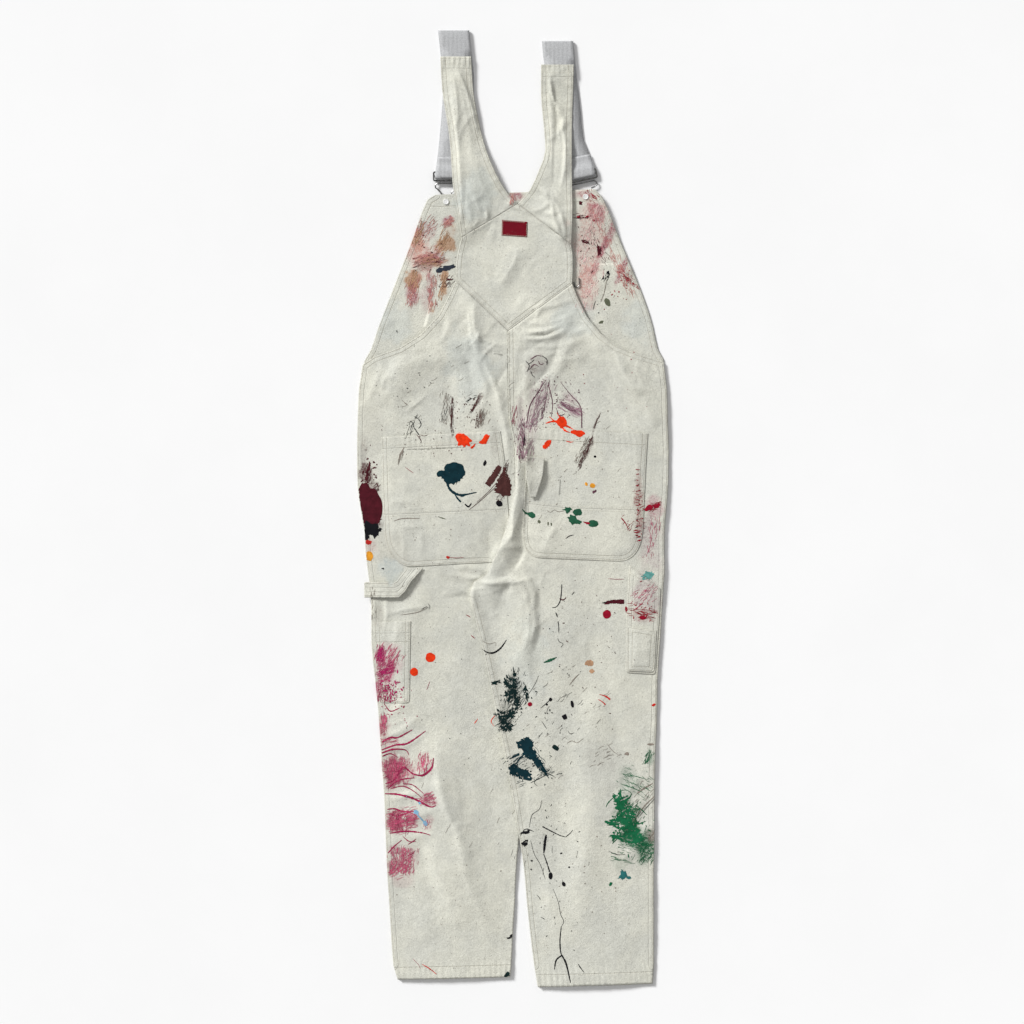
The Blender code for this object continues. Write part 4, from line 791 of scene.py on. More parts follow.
# Dry brushing: fine streaks within an oval, along its length
DRY = painted(
    Dry,
    ("brown", (-98, 148, 60, 5, 89, 56, 0.7)),
    ("warm_grey", (-108, 160, 50, 14, 84, 34, 0.5)),
    ("brown", (-60, 166, 34, 4, 62, 34, 0.8)),
    ("warm_grey", (-52, 145, 26, 18, 74, 50, 0.8)),
    ("brown", (-54, 140, 22, 12, 80, 24, 0.8)),
    ("black", (-66, 176, 16, 6, 25, 14, 0.7), (-110, 150, 30, 12, 80, 10, 0.6)),
    ("brown", (116, 90, 54, 6, 66, 56, 0.8)),
    ("warm_grey", (111, 96, 44, 12, 66, 40, 0.7)),
    ("brown", (133, 138, 26, 3, 66, 12, 0.7)),
    ("warm_grey", (-179, 84, 24, 6, 66, 18, 0.7)),
    ("mauve", (42, 164, 78, 24, 74, 100, 0.7), (34, 142, 30, 20, 70, 40, 0.8),
     (92, 160, 38, 16, -24, 90, 1.0)),
    ("plum", (94, 160, 34, 8, -28, 34, 0.8), (52, 176, 60, 4, 78, 24, 0.7),
     (14, 108, 58, 10, 88, 70, 0.8)),
    ("mauve", (14, 112, 66, 16, 88, 60, 0.8), (26, 96, 30, 18, 70, 40, 0.8)),
    ("rose", (2, 150, 26, 9, 80, 20, 0.6)),
    ("maroon", (-232, 56, 28, 10, 80, 60, 1.1), (-222, 26, 26, 12, 60, 40, 1.0)),
    ("brown", (-14, 58, 34, 10, 60, 30, 0.9), (-18, 20, 18, 12, 60, 24, 0.7)),
    ("crimson", (201, 8, 14, 112, 4, 30, 1.0), (186, -24, 16, 20, 50, 14, 1.0)),
    ("pink", (222, -50, 70, 22, 80, 50, 0.5)),
    ("crimson", (222, 3, 30, 12, 24, 30, 1.4), (206, -168, 44, 26, -10, 50, 1.1)),
    ("pink", (210, -140, 46, 30, 40, 50, 0.6)),
    ("magenta", (-212, -232, 24, 16, 80, 60, 1.3), (-204, -260, 28, 20, 20, 70, 1.2)),
    ("pink", (-196, -242, 40, 34, 60, 90, 0.8)),
    ("rose", (-206, -296, 26, 40, 80, 60, 0.9)),
    ("pink", (-207, -344, 26, 14, 88, 60, 0.9), (-200, -372, 30, 12, 10, 30, 0.9),
     (-186, -418, 40, 44, 84, 200, 0.9)),
    ("rose", (-190, -424, 36, 36, 16, 50, 0.7)),
    ("pink", (-142, -408, 32, 26, 84, 80, 0.8), (-137, -464, 22, 18, 30, 60, 0.9),
     (-176, -500, 46, 34, 14, 200, 0.9)),
    ("rose", (-180, -502, 30, 36, 80, 50, 0.7)),
    ("pink", (-136, -506, 14, 16, 70, 24, 0.8), (-176, -562, 40, 40, 84, 170, 0.9),
     (-178, -574, 40, 22, 30, 60, 0.8)),
    ("jade", (188, -494, 50, 46, 60, 90, 1.1), (200, -536, 60, 34, -18, 150, 0.9),
     (196, -440, 54, 34, -34, 60, 0.8), (216, -398, 24, 14, 60, 24, 0.9),
     (176, -562, 36, 10, -14, 18, 0.8), (214, -552, 34, 36, 60, 60, 0.7)),
    ("warm_grey", (200, -470, 60, 40, 46, 30, 0.6), (222, -524, 22, 10, 60, 24, 1.0),
     (150, -400, 50, 40, 30, 20, 0.6)),
    ("black_green", (0, -284, 56, 24, 74, 70, 1.0), (4, -314, 44, 26, 60, 50, 0.9),
     (-12, -338, 30, 24, 40, 50, 1.1)),
    ("dark_teal", (36, -398, 66, 22, -50, 60, 1.0), (8, -404, 40, 30, 30, 50, 1.0),
     (36, -430, 60, 18, 20, 26, 0.8), (-98, 44, 14, 20, 80, 24, 0.8)),
    ("tan", (-112, 424, 36, 24, 60, 50, 1.3), (-128, 398, 40, 16, 10, 40, 1.2),
     (-158, 366, 32, 20, 80, 50, 1.3), (-152, 440, 34, 14, 70, 36, 1.2),
     (-112, 356, 44, 10, 84, 40, 1.2)),
    ("dusty_pink", (-140, 446, 44, 30, 50, 60, 0.8), (-104, 458, 20, 12, 40, 40, 1.1),
     (-134, 402, 50, 20, 20, 60, 0.8)),
    ("maroon", (-136, 396, 50, 18, 10, 30, 0.6)),
    ("dusty_pink", (-160, 346, 44, 20, 74, 80, 0.8), (-130, 344, 60, 16, 86, 80, 0.8)),
    ("maroon", (-104, 360, 24, 14, 40, 24, 0.8)),
    ("dusty_pink", (0, 500, 24, 10, 80, 40, 0.7), (150, 426, 130, 10, -66, 80, 0.6),
     (178, 372, 66, 14, -66, 90, 0.7)),
    ("crimson", (184, 366, 44, 12, -40, 40, 0.9)),
    ("maroon", (138, 420, 60, 14, -64, 26, 0.9), (108, 466, 24, 10, 0, 24, 1.0)),
    ("crimson", (126, 500, 24, 20, -40, 24, 1.0)),
    ("pale_pink", (122, 430, 110, 36, 76, 120, 0.9), (122, 350, 80, 30, 76, 60, 0.9)),
    ("black", (148, 372, 18, 16, 60, 14, 0.8), (-162, 132, 34, 14, 60, 12, 0.8),
     (-232, -34, 30, 14, 60, 30, 1.2)),
    ("warm_grey", (-226, -150, 50, 14, 86, 30, 0.7), (100, 60, 200, 200, 40, 16, 0.4),
     (-100, 200, 200, 120, 30, 16, 0.4), (90, -330, 160, 200, 40, 26, 0.45)),
    ("black", (80, -340, 90, 130, 50, 18, 0.6), (60, -560, 80, 150, 80, 12, 0.5)),
    ("warm_grey", (-90, -500, 160, 300, 60, 12, 0.35)),
)
# Rows of short dabs, as paint catches on the puckers of a seam
LADDERS = painted(
    Ladder,
    ("crimson", (200, 62, 199, -36, 13, 7.0, 2.2), (196, -34, 202, -50, 5, 9.0, 2.6)),
    ("maroon", (202, 40, 198, -44, 7, 5.0, 1.4)),
)
SPRAYS = painted(
    Spray,
    ("black", (60, -160, 60, 60, 0, 16, 0.8), (80, -250, 40, 30, 0, 18, 0.8),
     (70, -350, 60, 60, 0, 40, 0.9), (60, -520, 50, 50, 0, 30, 0.8),
     (70, -640, 40, 60, 0, 18, 0.8)),
    ("black_green", (4, -300, 26, 46, 0, 90, 1.0), (30, -410, 46, 34, 0, 60, 1.0)),
    ("crimson", (203, 12, 7, 56, 0, 30, 0.9), (206, -160, 26, 26, 0, 30, 1.0),
     (176, 372, 16, 60, -22, 40, 1.0)),
    ("maroon", (-230, 50, 14, 30, 0, 60, 1.2), (-232, -14, 14, 14, 0, 30, 1.2)),
    ("magenta", (-196, -292, 26, 22, 0, 90, 1.3)),
    ("rose", (-176, -330, 24, 20, 0, 20, 1.0)),
    ("jade", (186, -506, 30, 44, 0, 110, 1.2)),
    ("brown", (-120, 120, 90, 60, 0, 60, 0.7), (-70, 156, 40, 30, 0, 60, 0.8)),
    ("warm_grey", (100, 80, 100, 110, 0, 80, 0.7), (-110, -20, 100, 110, 0, 80, 0.7)),
    ("brown", (120, -220, 100, 120, 0, 70, 0.7)),
    ("black", (-100, -340, 100, 200, 0, 40, 0.6)),
    ("warm_grey", (120, -600, 90, 120, 0, 70, 0.7), (-90, -600, 90, 120, 0, 60, 0.6)),
    ("crimson", (150, 200, 90, 80, 0, 20, 0.7)),
    ("black", (-170, 200, 70, 80, 0, 36, 0.7)),
    ("plum", (60, 170, 50, 50, 0, 120, 0.8), (16, 110, 16, 40, 0, 60, 0.8)),
    ("brown", (-130, 400, 34, 80, 0, 60, 0.9)),
    ("maroon", (130, 420, 34, 70, 0, 50, 0.8)),
    ("black", (136, 340, 30, 60, 0, 20, 0.7)),
    ("warm_grey", (0, 400, 80, 90, 0, 40, 0.5)),
)

# Specks of dirt: how fine, a dot's inner and outer edge, and the noise over which dots fade in
SPECKS = ((120, 0.05, 0.18, 0.46, 0.68), (330, 0.06, 0.24, 0.4, 0.6))
SPECK_SHARE = 0.62
SPECK_COLOUR = (0.15, 0.13, 0.1)
# Grime and painted shade in the stitch grooves and along the cut edges: how much they darken, and to
# what colour
GRIME_AND_SHADE_SHARE = 0.3
GRIME_AND_SHADE_COLOUR = (0.22, 0.19, 0.15)

# One stitch, as shares of its length, width and height
STITCH_CORNERS = ((-0.5, 0, 0), (-0.3, 0.5, 0.2), (0.3, 0.5, 0.2), (0.5, 0, 0),
                  (0.3, -0.5, 0.2), (-0.3, -0.5, 0.2), (-0.24, 0, 1), (0.24, 0, 1))
STITCH_SIDES = ((0, 6, 1), (1, 6, 7), (1, 7, 2), (2, 7, 3),
                (3, 7, 4), (4, 7, 6), (4, 6, 5), (5, 6, 0))
STITCH_SINK = 0.05


def noise(x, y, size, seed):
    """Smooth noise from -1 to 1, with bumps about size across."""
    turn = 0.6 + seed
    u = (x * math.cos(turn) - y * math.sin(turn)) / size
    v = (x * math.sin(turn) + y * math.cos(turn)) / size
    table = np.random.default_rng(seed).uniform(-1, 1, (NOISE_CELLS, NOISE_CELLS))
    i, j = np.floor(u).astype(int), np.floor(v).astype(int)
    fu, fv = u - i, v - j
    fu, fv = fu * fu * (3 - 2 * fu), fv * fv * (3 - 2 * fv)
    i, j = i % NOISE_CELLS, j % NOISE_CELLS
    i2, j2 = (i + 1) % NOISE_CELLS, (j + 1) % NOISE_CELLS
    low = table[i, j] * (1 - fu) + table[i2, j] * fu
    high = table[i, j2] * (1 - fu) + table[i2, j2] * fu
    return low * (1 - fv) + high * fv


def smooth(t):
    """0 up to 0, 1 from 1 on, and a soft step between."""
    t = np.clip(t, 0.0, 1.0)
    return t * t * (3 - 2 * t)


def turned(x, y, along, across, turn):
    """The place that lies along and across from (x, y), seen with a turn."""
    cos, sin = math.cos(turn), math.sin(turn)
    return x + along * cos - across * sin, y + along * sin + across * cos


def thinned(line, most, step):
    """Every so many points of a line that has more than most."""
    return line[::step] if len(line) > most else line


def line_distance(x, y, line):
    """How far each point is from a line of points, its place along it and its side of it."""
    line = np.array(line, float)
    runs = np.hypot(*np.diff(line, axis=0).T)
    starts = np.concatenate(([0], np.cumsum(runs)))
    best = np.full(x.shape, FAR)
    place = np.zeros(x.shape)
    side = np.zeros(x.shape)
    for start, end, run, before in zip(line[:-1], line[1:], runs, starts):
        ax, ay = end - start
        t = np.clip(((x - start[0]) * ax + (y - start[1]) * ay) / max(run * run, 1e-9), 0, 1)
        dx, dy = x - start[0] - t * ax, y - start[1] - t * ay
        away = np.hypot(dx, dy)
        near = away < best
        best[near] = away[near]
        place[near] = (before + t * run)[near] / starts[-1]
        side[near] = np.sign(ax * dy - ay * dx)[near]
    return best, place, side


def bowed(crease, count=9):
    """Points along a crease."""
    ax, ay = crease.x2 - crease.x1, crease.y2 - crease.y1
    length = math.hypot(ax, ay)
    points = []
    for t in np.linspace(0, 1, count):
        out = 4 * crease.bow * t * (1 - t)
        x = crease.x1 + t * ax - out * ay / length
        y = crease.y1 + t * ay + out * ax / length
        points.append((x, y))
    return points


def gathered():
    """The short uneven creases of every zone."""
    rows = []
    for seed, zone in enumerate(ZONES):
        rng = np.random.default_rng(seed + 40)
        turn = math.radians(zone.turn)
        for _ in range(zone.count):
            u, v = rng.normal(0, SPREAD, 2)
            x, y = turned(zone.x, zone.y, u * zone.rx, v * zone.ry, turn)
            half = 0.5 * zone.length * rng.uniform(0.45, 1.2)
            way = turn + rng.normal(0, WANDER)
            dx, dy = half * math.cos(way), half * math.sin(way)
            height = zone.height * rng.uniform(0.35, 1.0) * (1 if rng.uniform() < RIDGES else VALLEY)
            rows.append(Crease(x - dx, y - dy, x + dx, y + dy, half * rng.uniform(-0.35, 0.35),
                               rng.uniform(3.2, 7.5), height, rng.uniform(0.0, 0.5)))
    return rows


def creasing(x, y):
    """Height that the creases and the waviness add at each point, in millimetres."""
    height = np.zeros(x.shape)
    rises = [CREASE_RISE] * len(CREASES) + [1.0] * len(FOLDS)
    rows = [*CREASES, *FOLDS, *gathered()]
    rises += [CREASE_RISE] * (len(rows) - len(rises))
    for crease, scale in zip(rows, rises):
        reach = 3 * crease.width + abs(crease.bow)
        inside = (
            (x > min(crease.x1, crease.x2) - reach)
            & (x < max(crease.x1, crease.x2) + reach)
            & (y > min(crease.y1, crease.y2) - reach)
            & (y < max(crease.y1, crease.y2) + reach)
        )
        if not inside.any():
            continue
        away, place, side = line_distance(x[inside], y[inside], bowed(crease))
        width = CREASE_WIDTH * crease.width * (1 + crease.lean * side)
        along = np.clip(place, CREASE_END, 1 - CREASE_END)
        taper = np.sqrt(np.clip(np.sin(np.pi * along), 0, 1))
        height[inside] += scale * crease.height * taper * np.exp(-((away / width) ** CREST))
    for seed, (size, rise) in enumerate(RUMPLES):
        height += rise * noise(x, y, size, seed + 3)
    return height


def is_hem(seam):
    """Whether a seam's rows stand as far in as a hem's do."""
    return max(seam.rows) > TWIN_ROW + 2


def sewing_relief(x, y, paths):
    """The doubled cloth along sewn edges and the ripples that the rows of stitches draw in."""
    height = np.zeros(x.shape)
    for seam, path in paths:
        length = np.hypot(*np.diff(path, axis=0).T).sum()
        away, place, _ = line_distance(x, y, thinned(path, 60, 2))
        inner = max(seam.rows)
        pitch, rise = (HEM_PITCH, HEM_RISE) if is_hem(seam) else (RIPPLE_PITCH, RIPPLE_RISE)
        wave = np.sin(2 * np.pi * place * length / pitch + RIPPLE_DRIFT * noise(x, y, 34, 12))
        fade = np.exp(-(((away - 0.6 * inner) / (0.7 * inner + 5)) ** 2))
        uneven = 0.6 + 0.4 * noise(x, y, 24, 14)
        height = np.maximum(height, LAP * (1 - smooth((away - inner - 0.5) / 3.5)))
        height += rise * wave * fade * uneven * 0.5
    return height


def edges_of(faces):
    """Every edge once, which edges each face has, and how many faces use each edge."""
    pairs = np.sort(np.vstack((faces[:, (0, 1)], faces[:, (1, 2)], faces[:, (2, 0)])), axis=1)
    edges, which, uses = np.unique(pairs, axis=0, return_inverse=True, return_counts=True)
    return edges, which.reshape(3, -1).T, uses


def divide(points, faces, longest):
    """Splits the edges over a length at their middles, and the triangles to suit."""
    edges, which, _ = edges_of(faces)
    run = np.linalg.norm(points[edges[:, 0]] - points[edges[:, 1]], axis=1)
    split = run > longest
    if not split.any():
        return points, faces
    middle = np.full(len(edges), -1)
    middle[split] = len(points) + np.arange(split.sum())
    points = np.vstack((points, points[edges[split]].mean(axis=1)))
    marks = middle[which] >= 0
    count = marks.sum(axis=1)
    # Turn each face so that its first edge is split, and of two the second as well
    turn = np.where(count == 1, np.argmax(marks, axis=1), 0)
    turn = np.where(count == 2, (np.argmin(marks, axis=1) + 1) % 3, turn)
    order = (turn[:, None] + np.arange(3)) % 3
    a, b, c = np.take_along_axis(faces, order, axis=1).T
    ab, bc, ca = np.take_along_axis(middle[which], order, axis=1).T
    one, two, three = count == 1, count == 2, count == 3
    parts = [faces[count == 0]]

    def add(chosen, *corners):
        parts.append(np.stack([corner[chosen] for corner in corners], axis=1))

    add(one, a, ab, c)
    add(one, ab, b, c)
    add(two, ab, b, bc)
    across = np.linalg.norm(points[a] - points[np.maximum(bc, 0)], axis=1)
    other = np.linalg.norm(points[np.maximum(ab, 0)] - points[c], axis=1)
    short, far = two & (across <= other), two & (across > other)
    add(short, a, ab, bc)
    add(short, a, bc, c)
    add(far, a, ab, c)
    add(far, ab, bc, c)
    add(three, a, ab, ca)
    add(three, ab, b, bc)
    add(three, ca, bc, c)
    add(three, ab, bc, ca)
    return points, np.vstack(parts)


def upper_face(node):
    """The upper face of a cloth solid, finely divided: points in millimetres, faces, links and rim."""
    piece = next(item for item in PIECES if item.node == node)
    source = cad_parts[node]
    work = bmesh.new()
    work.from_mesh(source.data)
    work.transform(source.matrix_world)
    bmesh.ops.remove_doubles(work, verts=work.verts, dist=1e-6)
    work.normal_update()
    walls = [face for face in work.faces if face.normal.z < 0.5]
    bmesh.ops.delete(work, geom=walls, context="FACES")
    bmesh.ops.triangulate(work, faces=work.faces)
    work.verts.ensure_lookup_table()
    work.verts.index_update()
    points = np.array([vertex.co[:] for vertex in work.verts]) / MM
    faces = np.array([[vertex.index for vertex in face.verts] for face in work.faces])
    work.free()
    for _ in range(DIVIDING_ROUNDS):
        points, faces = divide(points, faces, piece.mesh)
    links, _, uses = edges_of(faces)
    return points, faces, links, links[uses == 1].tolist()


def relax(values, links, rounds):
    """Evens out one value a point over the points that it is linked to; the others keep theirs."""
    count = np.bincount(links.ravel(), minlength=len(values))
    for _ in range(rounds):
        total = np.bincount(links[:, 0], values[links[:, 1]], len(values))
        total += np.bincount(links[:, 1], values[links[:, 0]], len(values))
        moved = KEPT * values + (1 - KEPT) * total / np.maximum(count, 1)
        values = np.where(count > 0, moved, values)
    return values


def ring_order(rim):
    """The outline's points in order, round one closed ring."""
    following = {}
    for a, b in rim:
        following.setdefault(a, []).append(b)
        following.setdefault(b, []).append(a)
    start = rim[0][0]
    ring, last, here = [start], None, start
    while True:
        onward = [item for item in following[here] if item != last]
        last, here = here, onward[0]
        if here == start or len(ring) > len(rim):
            break
        ring.append(here)
    return ring


def surface_of(points, faces):
    """A surface that rays can meet."""
    return BVHTree.FromPolygons([Vector(point) for point in points], faces.tolist())


def solid_surface(node):
    """The surface of a solid that has no shell of its own."""
    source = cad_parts[node]
    mesh = source.data
    points = [source.matrix_world @ vertex.co / MM for vertex in mesh.vertices]
    return BVHTree.FromPolygons(points, [tuple(face.vertices) for face in mesh.polygons])


def height_at(trees, x, y, missing):
    """The highest of these surfaces at (x, y), or missing."""
    best = missing
    for tree in trees:
        hit = tree.ray_cast(Vector((x, y, RAY_TOP)), Vector((0, 0, -1)))[0]
        if hit is not None and hit.z > best:
            best = hit.z
    return best


def signed_area(ring):
    """The area in a closed outline, below 0 where it runs clockwise."""
    x, y = ring.T
    return 0.5 * np.sum(x * np.roll(y, -1) - np.roll(x, -1) * y)


def sewn_lines(node, ring):
    """The parts of a patch's outline that are sewn down, as pairs of points."""
    mouth = MOUTHS.get(node)
    closed = np.vstack((ring, ring[:1]))
    pairs = list(zip(closed[:-1], closed[1:]))
    if mouth is None:
        return pairs
    line = ((mouth.x1, mouth.y1), (mouth.x2, mouth.y2))
    middles = np.array([(a + b) / 2 for a, b in pairs])
    away = line_distance(middles[:, 0], middles[:, 1], line)[0]
    return [pair for pair, distance in zip(pairs, away) if distance > MOUTH_REACH]


class Shell:
    """A cloth piece while it is built: its points, its outline and its surface."""

    def __init__(self, piece, shells):
        self.node = piece.node
        self.patch = piece.ground is not None
        self.wall = PATCH_SHELL if self.patch else SHELL
        self.points, self.faces, self.links, self.rim = upper_face(piece.node)
        if piece.node == "back_pocket_left":
            self.tuck_in()
        if self.patch:
            self.round_corners()
        self.order = ring_order(self.rim)
        self.ring = self.points[self.order, :2]
        self.inner = self.ring
        self.paths = seam_paths(piece.node, self.ring)
        x, y = self.points[:, 0], self.points[:, 1]
        closed = np.vstack((self.ring, self.ring[:1]))
        self.edge = line_distance(x, y, thinned(closed, 90, 3))[0]
        self.points[:, 2] = self.laid(x, y, self.creased(x, y), piece.over, shells)
        if not self.patch:
            self.grow()
        self.tree = surface_of(self.points, self.faces)

    def creased(self, x, y):
        """The height of the creased cloth, before it lies on what is below it."""
        z = relax(self.points[:, 2], self.links, SMOOTHING)
        if self.node in FLAT_ON_TABLE:
            for seed, (size, rise) in enumerate(HIDDEN_RUMPLES):
                z = z + rise * noise(x, y, size, seed + 8)
            return z
        pucker = PUCKER_RISE * noise(x, y, PUCKER_SIZE, 31) * (1 - smooth((self.edge - 3) / 12))
        share = HIDDEN_SHARE if self.node == "front_leg_right" else 1.0
        z = z + share * (creasing(x, y) + pucker + sewing_relief(x, y, self.paths))
        if self.node == "back_right":
            reach = smooth((y - EDGE_LOW) / EDGE_LOW_FADE) * smooth((EDGE_HIGH - y) / EDGE_HIGH_FADE)
            reach = reach * (x < EDGE_SIDE)
            z = z + EDGE_RISE * reach * np.exp(-((self.edge / EDGE_WIDTH) ** 2))
        return z

    def laid(self, x, y, z, over, shells):
        """The height of the cloth once it lies on the pieces that it is over."""
        floor = self.wall + TABLE_GAP
        if not over:
            return np.maximum(z, floor)
        below = [shells[name].tree if name in shells else solid_surface(name) for name in over]
        base = np.array([height_at(below, px, py, -FAR) for px, py in zip(x, y)])
        lowest = np.where(base > -FAR, base + self.wall + CLEAR, floor)
        if self.patch:
            z = self.sewn_down(x, y, z, base)
        else:
            z = z + CLEARING * relax(np.maximum(lowest - z, 0), self.links, SETTLING)
        z = np.maximum(z, lowest)
        if self.node == "front_bib":
            z = relax(z, self.links, 3 * SETTLING)
        if self.node == "back_pocket_left":
            leg = shells["back_right"].tree
            hidden = np.array([height_at([leg], px, py, -FAR) > -FAR for px, py in zip(x, y)])
            z = np.where(hidden, np.minimum(z, base + self.wall + CLEAR), z)
        return np.maximum(z, floor)

    def sewn_down(self, x, y, z, base):
        """The height of a patch: down on its panel along its sewing, and free in the middle."""
        near = np.full(x.shape, FAR)
        for pair in thinned(sewn_lines(self.node, self.ring), 80, 2):
            near = np.minimum(near, line_distance(x, y, pair)[0])
        share = smooth(near / SEWN_WIDTH)
        seat = base + self.wall + CLEAR
        z = seat + PATCH_RISE * (z - seat)
        return np.where(base > -FAR, share * z + (1 - share) * np.minimum(z, seat), z)

    def grow(self):
        """Moves the outline out a little, so that panels meet with no gap at their seams."""
        ring = self.ring
        run = np.roll(ring, -1, axis=0) - np.roll(ring, 1, axis=0)
        length = np.maximum(np.hypot(*run.T), 1e-6)
        out = np.stack((run[:, 1], -run[:, 0]), axis=1) / length[:, None]
        if signed_area(ring) < 0:
            out = -out
        self.inner = ring - MEETING_INSET * out
        self.points[self.order, :2] = ring + MEETING * out

    def round_corners(self):
        """Rounds a patch's lower corners; its mouth keeps its own."""
        mouth = MOUTHS.get(self.node)
        if mouth is None:
            return
        outline = np.array(self.rim)
        on_rim = np.bincount(outline.ravel(), minlength=len(self.points)) > 0
        line = ((mouth.x1, mouth.y1), (mouth.x2, mouth.y2))
        for _ in range(ROUNDING if self.node.startswith("back") else SQUARE):
            away = line_distance(self.points[:, 0], self.points[:, 1], line)[0]
            free = smooth((away / away.max() - ROUND_FROM) / ROUND_FADE)
            for axis in (0, 1):
                value = self.points[:, axis]
                moved = np.where(on_rim, relax(value, outline, 1), relax(value, self.links, 1))
                self.points[:, axis] = value + free * (moved - value)

    def tuck_in(self):
        """The pocket's right side runs on under the right leg's edge."""
        x, y = self.points[:, 0], self.points[:, 1]
        near = smooth((x - TUCK_START) / (TUCK_END - TUCK_START))
        middle = 1 - smooth(np.abs(y - TUCK_Y) / TUCK_HALF)
        self.points[:, 0] = x + TUCK_DEPTH * near * middle


def level_joints(shells):
    """Panels that are sewn edge to edge come to the same height at the seam."""
    for first, second in JOINTS:
        pair = (shells[first], shells[second])
        rims = []
        for shell in pair:
            heights = [height_at([shell.tree], x, y, 0.0) for x, y in shell.inner]
            rims.append(np.column_stack((shell.ring, heights)))
        for shell, other in zip(pair, rims[::-1]):
            tree = KDTree(len(other))
            for index, (x, y, _) in enumerate(other):
                tree.insert((x, y, 0), index)
            tree.balance()
            for index, (x, y, z) in enumerate(shell.points):
                _, nearest, away = tree.find((x, y, 0))
                if away < LEVELLING:
                    share = 0.5 * (1 - smooth(away / LEVELLING))
                    shell.points[index, 2] = z + share * (other[nearest, 2] - z)
        for shell in pair:
            shell.tree = surface_of(shell.points, shell.faces)


def new_mesh(name, points, faces):
    """A mesh from points in millimetres."""
    mesh = bpy.data.meshes.new(name)
    mesh.from_pydata((np.array(points) * MM).tolist(), [], faces)
    mesh.validate()
    mesh.shade_smooth()
    obj = bpy.data.objects.new(name, mesh)
    bpy.context.scene.collection.objects.link(obj)
    return obj


def srgb(colour):
    """A screen colour as linear light."""
    parts = [value / 255 for value in colour]
    return tuple(p / 12.92 if p <= 0.04045 else ((p + 0.055) / 1.055) ** 2.4 for p in parts)


def staining(x, y):
    """The colour and the strength of what has soaked into the cloth at each point."""
    colour = np.ones((len(x), 3)) * 0.5
    strength = np.zeros(len(x))
    for seed, wash in enumerate(WASHES):
        turn = math.radians(wash.turn)
        dx, dy = x - wash.x, y - wash.y
        u = (dx * math.cos(turn) + dy * math.sin(turn)) / wash.rx
        v = (-dx * math.sin(turn) + dy * math.cos(turn)) / wash.ry
        ragged = 0.34 * noise(x, y, 2.6 * wash.grain, seed)
        ragged = ragged + 0.2 * noise(x, y, wash.grain, seed + 90)
        inside = 1 - smooth((np.hypot(u, v) + ragged - 0.55) / 0.6)
        amount = wash.amount * inside
        paint = np.array(srgb(PAINTS[wash.paint]))
        total = strength + amount - strength * amount
        share = np.where(total > 0, amount / np.maximum(total, 1e-6), 0)
        colour = colour * (1 - share[:, None]) + paint * share[:, None]
        strength = total
    return colour, strength


def seam_paths(node, ring):
    """Each sewn edge of a piece as a line of points on its outline, with its seam."""
    paths = []
    for seam in SEAMS:
        if seam.node != node:
            continue
        start, via, end = (
            int(np.argmin(np.hypot(ring[:, 0] - x, ring[:, 1] - y)))
            for x, y in (seam.start, seam.via, seam.end)
        )
        count = len(ring)
        forward = [(start + k) % count for k in range((end - start) % count + 1)]
        back = [(start - k) % count for k in range((start - end) % count + 1)]
        chosen = forward if via in forward else back
        paths.append((seam, ring[chosen]))
    return paths


def shift(path, ring, distance):
    """A path moved sideways by distance, to the inside of its outline."""
    run = np.gradient(path, axis=0)
    size = np.maximum(np.hypot(run[:, 0], run[:, 1]), 1e-6)
    normal = np.stack((-run[:, 1] / size, run[:, 0] / size), axis=1)
    index = int(np.argmin(np.hypot(*(ring - path[len(path) // 2]).T)))
    ahead = ring[(index + 1) % len(ring)] - ring[index - 1]
    same = float(np.dot(ahead, run[len(path) // 2])) > 0
    inward = 1 if (signed_area(ring) > 0) == same else -1
    return path + inward * distance * normal


def even_steps(path, pitch, trim=0.0):
    """Points and directions at even steps along a path."""
    runs = np.hypot(*np.diff(path, axis=0).T)
    along = np.concatenate(([0], np.cumsum(runs)))
    places = np.arange(trim, along[-1] - trim, pitch)
    x = np.interp(places, along, path[:, 0])
    y = np.interp(places, along, path[:, 1])
    ahead_x = np.interp(places + 1, along, path[:, 0])
    ahead_y = np.interp(places + 1, along, path[:, 1])
    return list(zip(x, y, np.arctan2(ahead_y - y, ahead_x - x)))


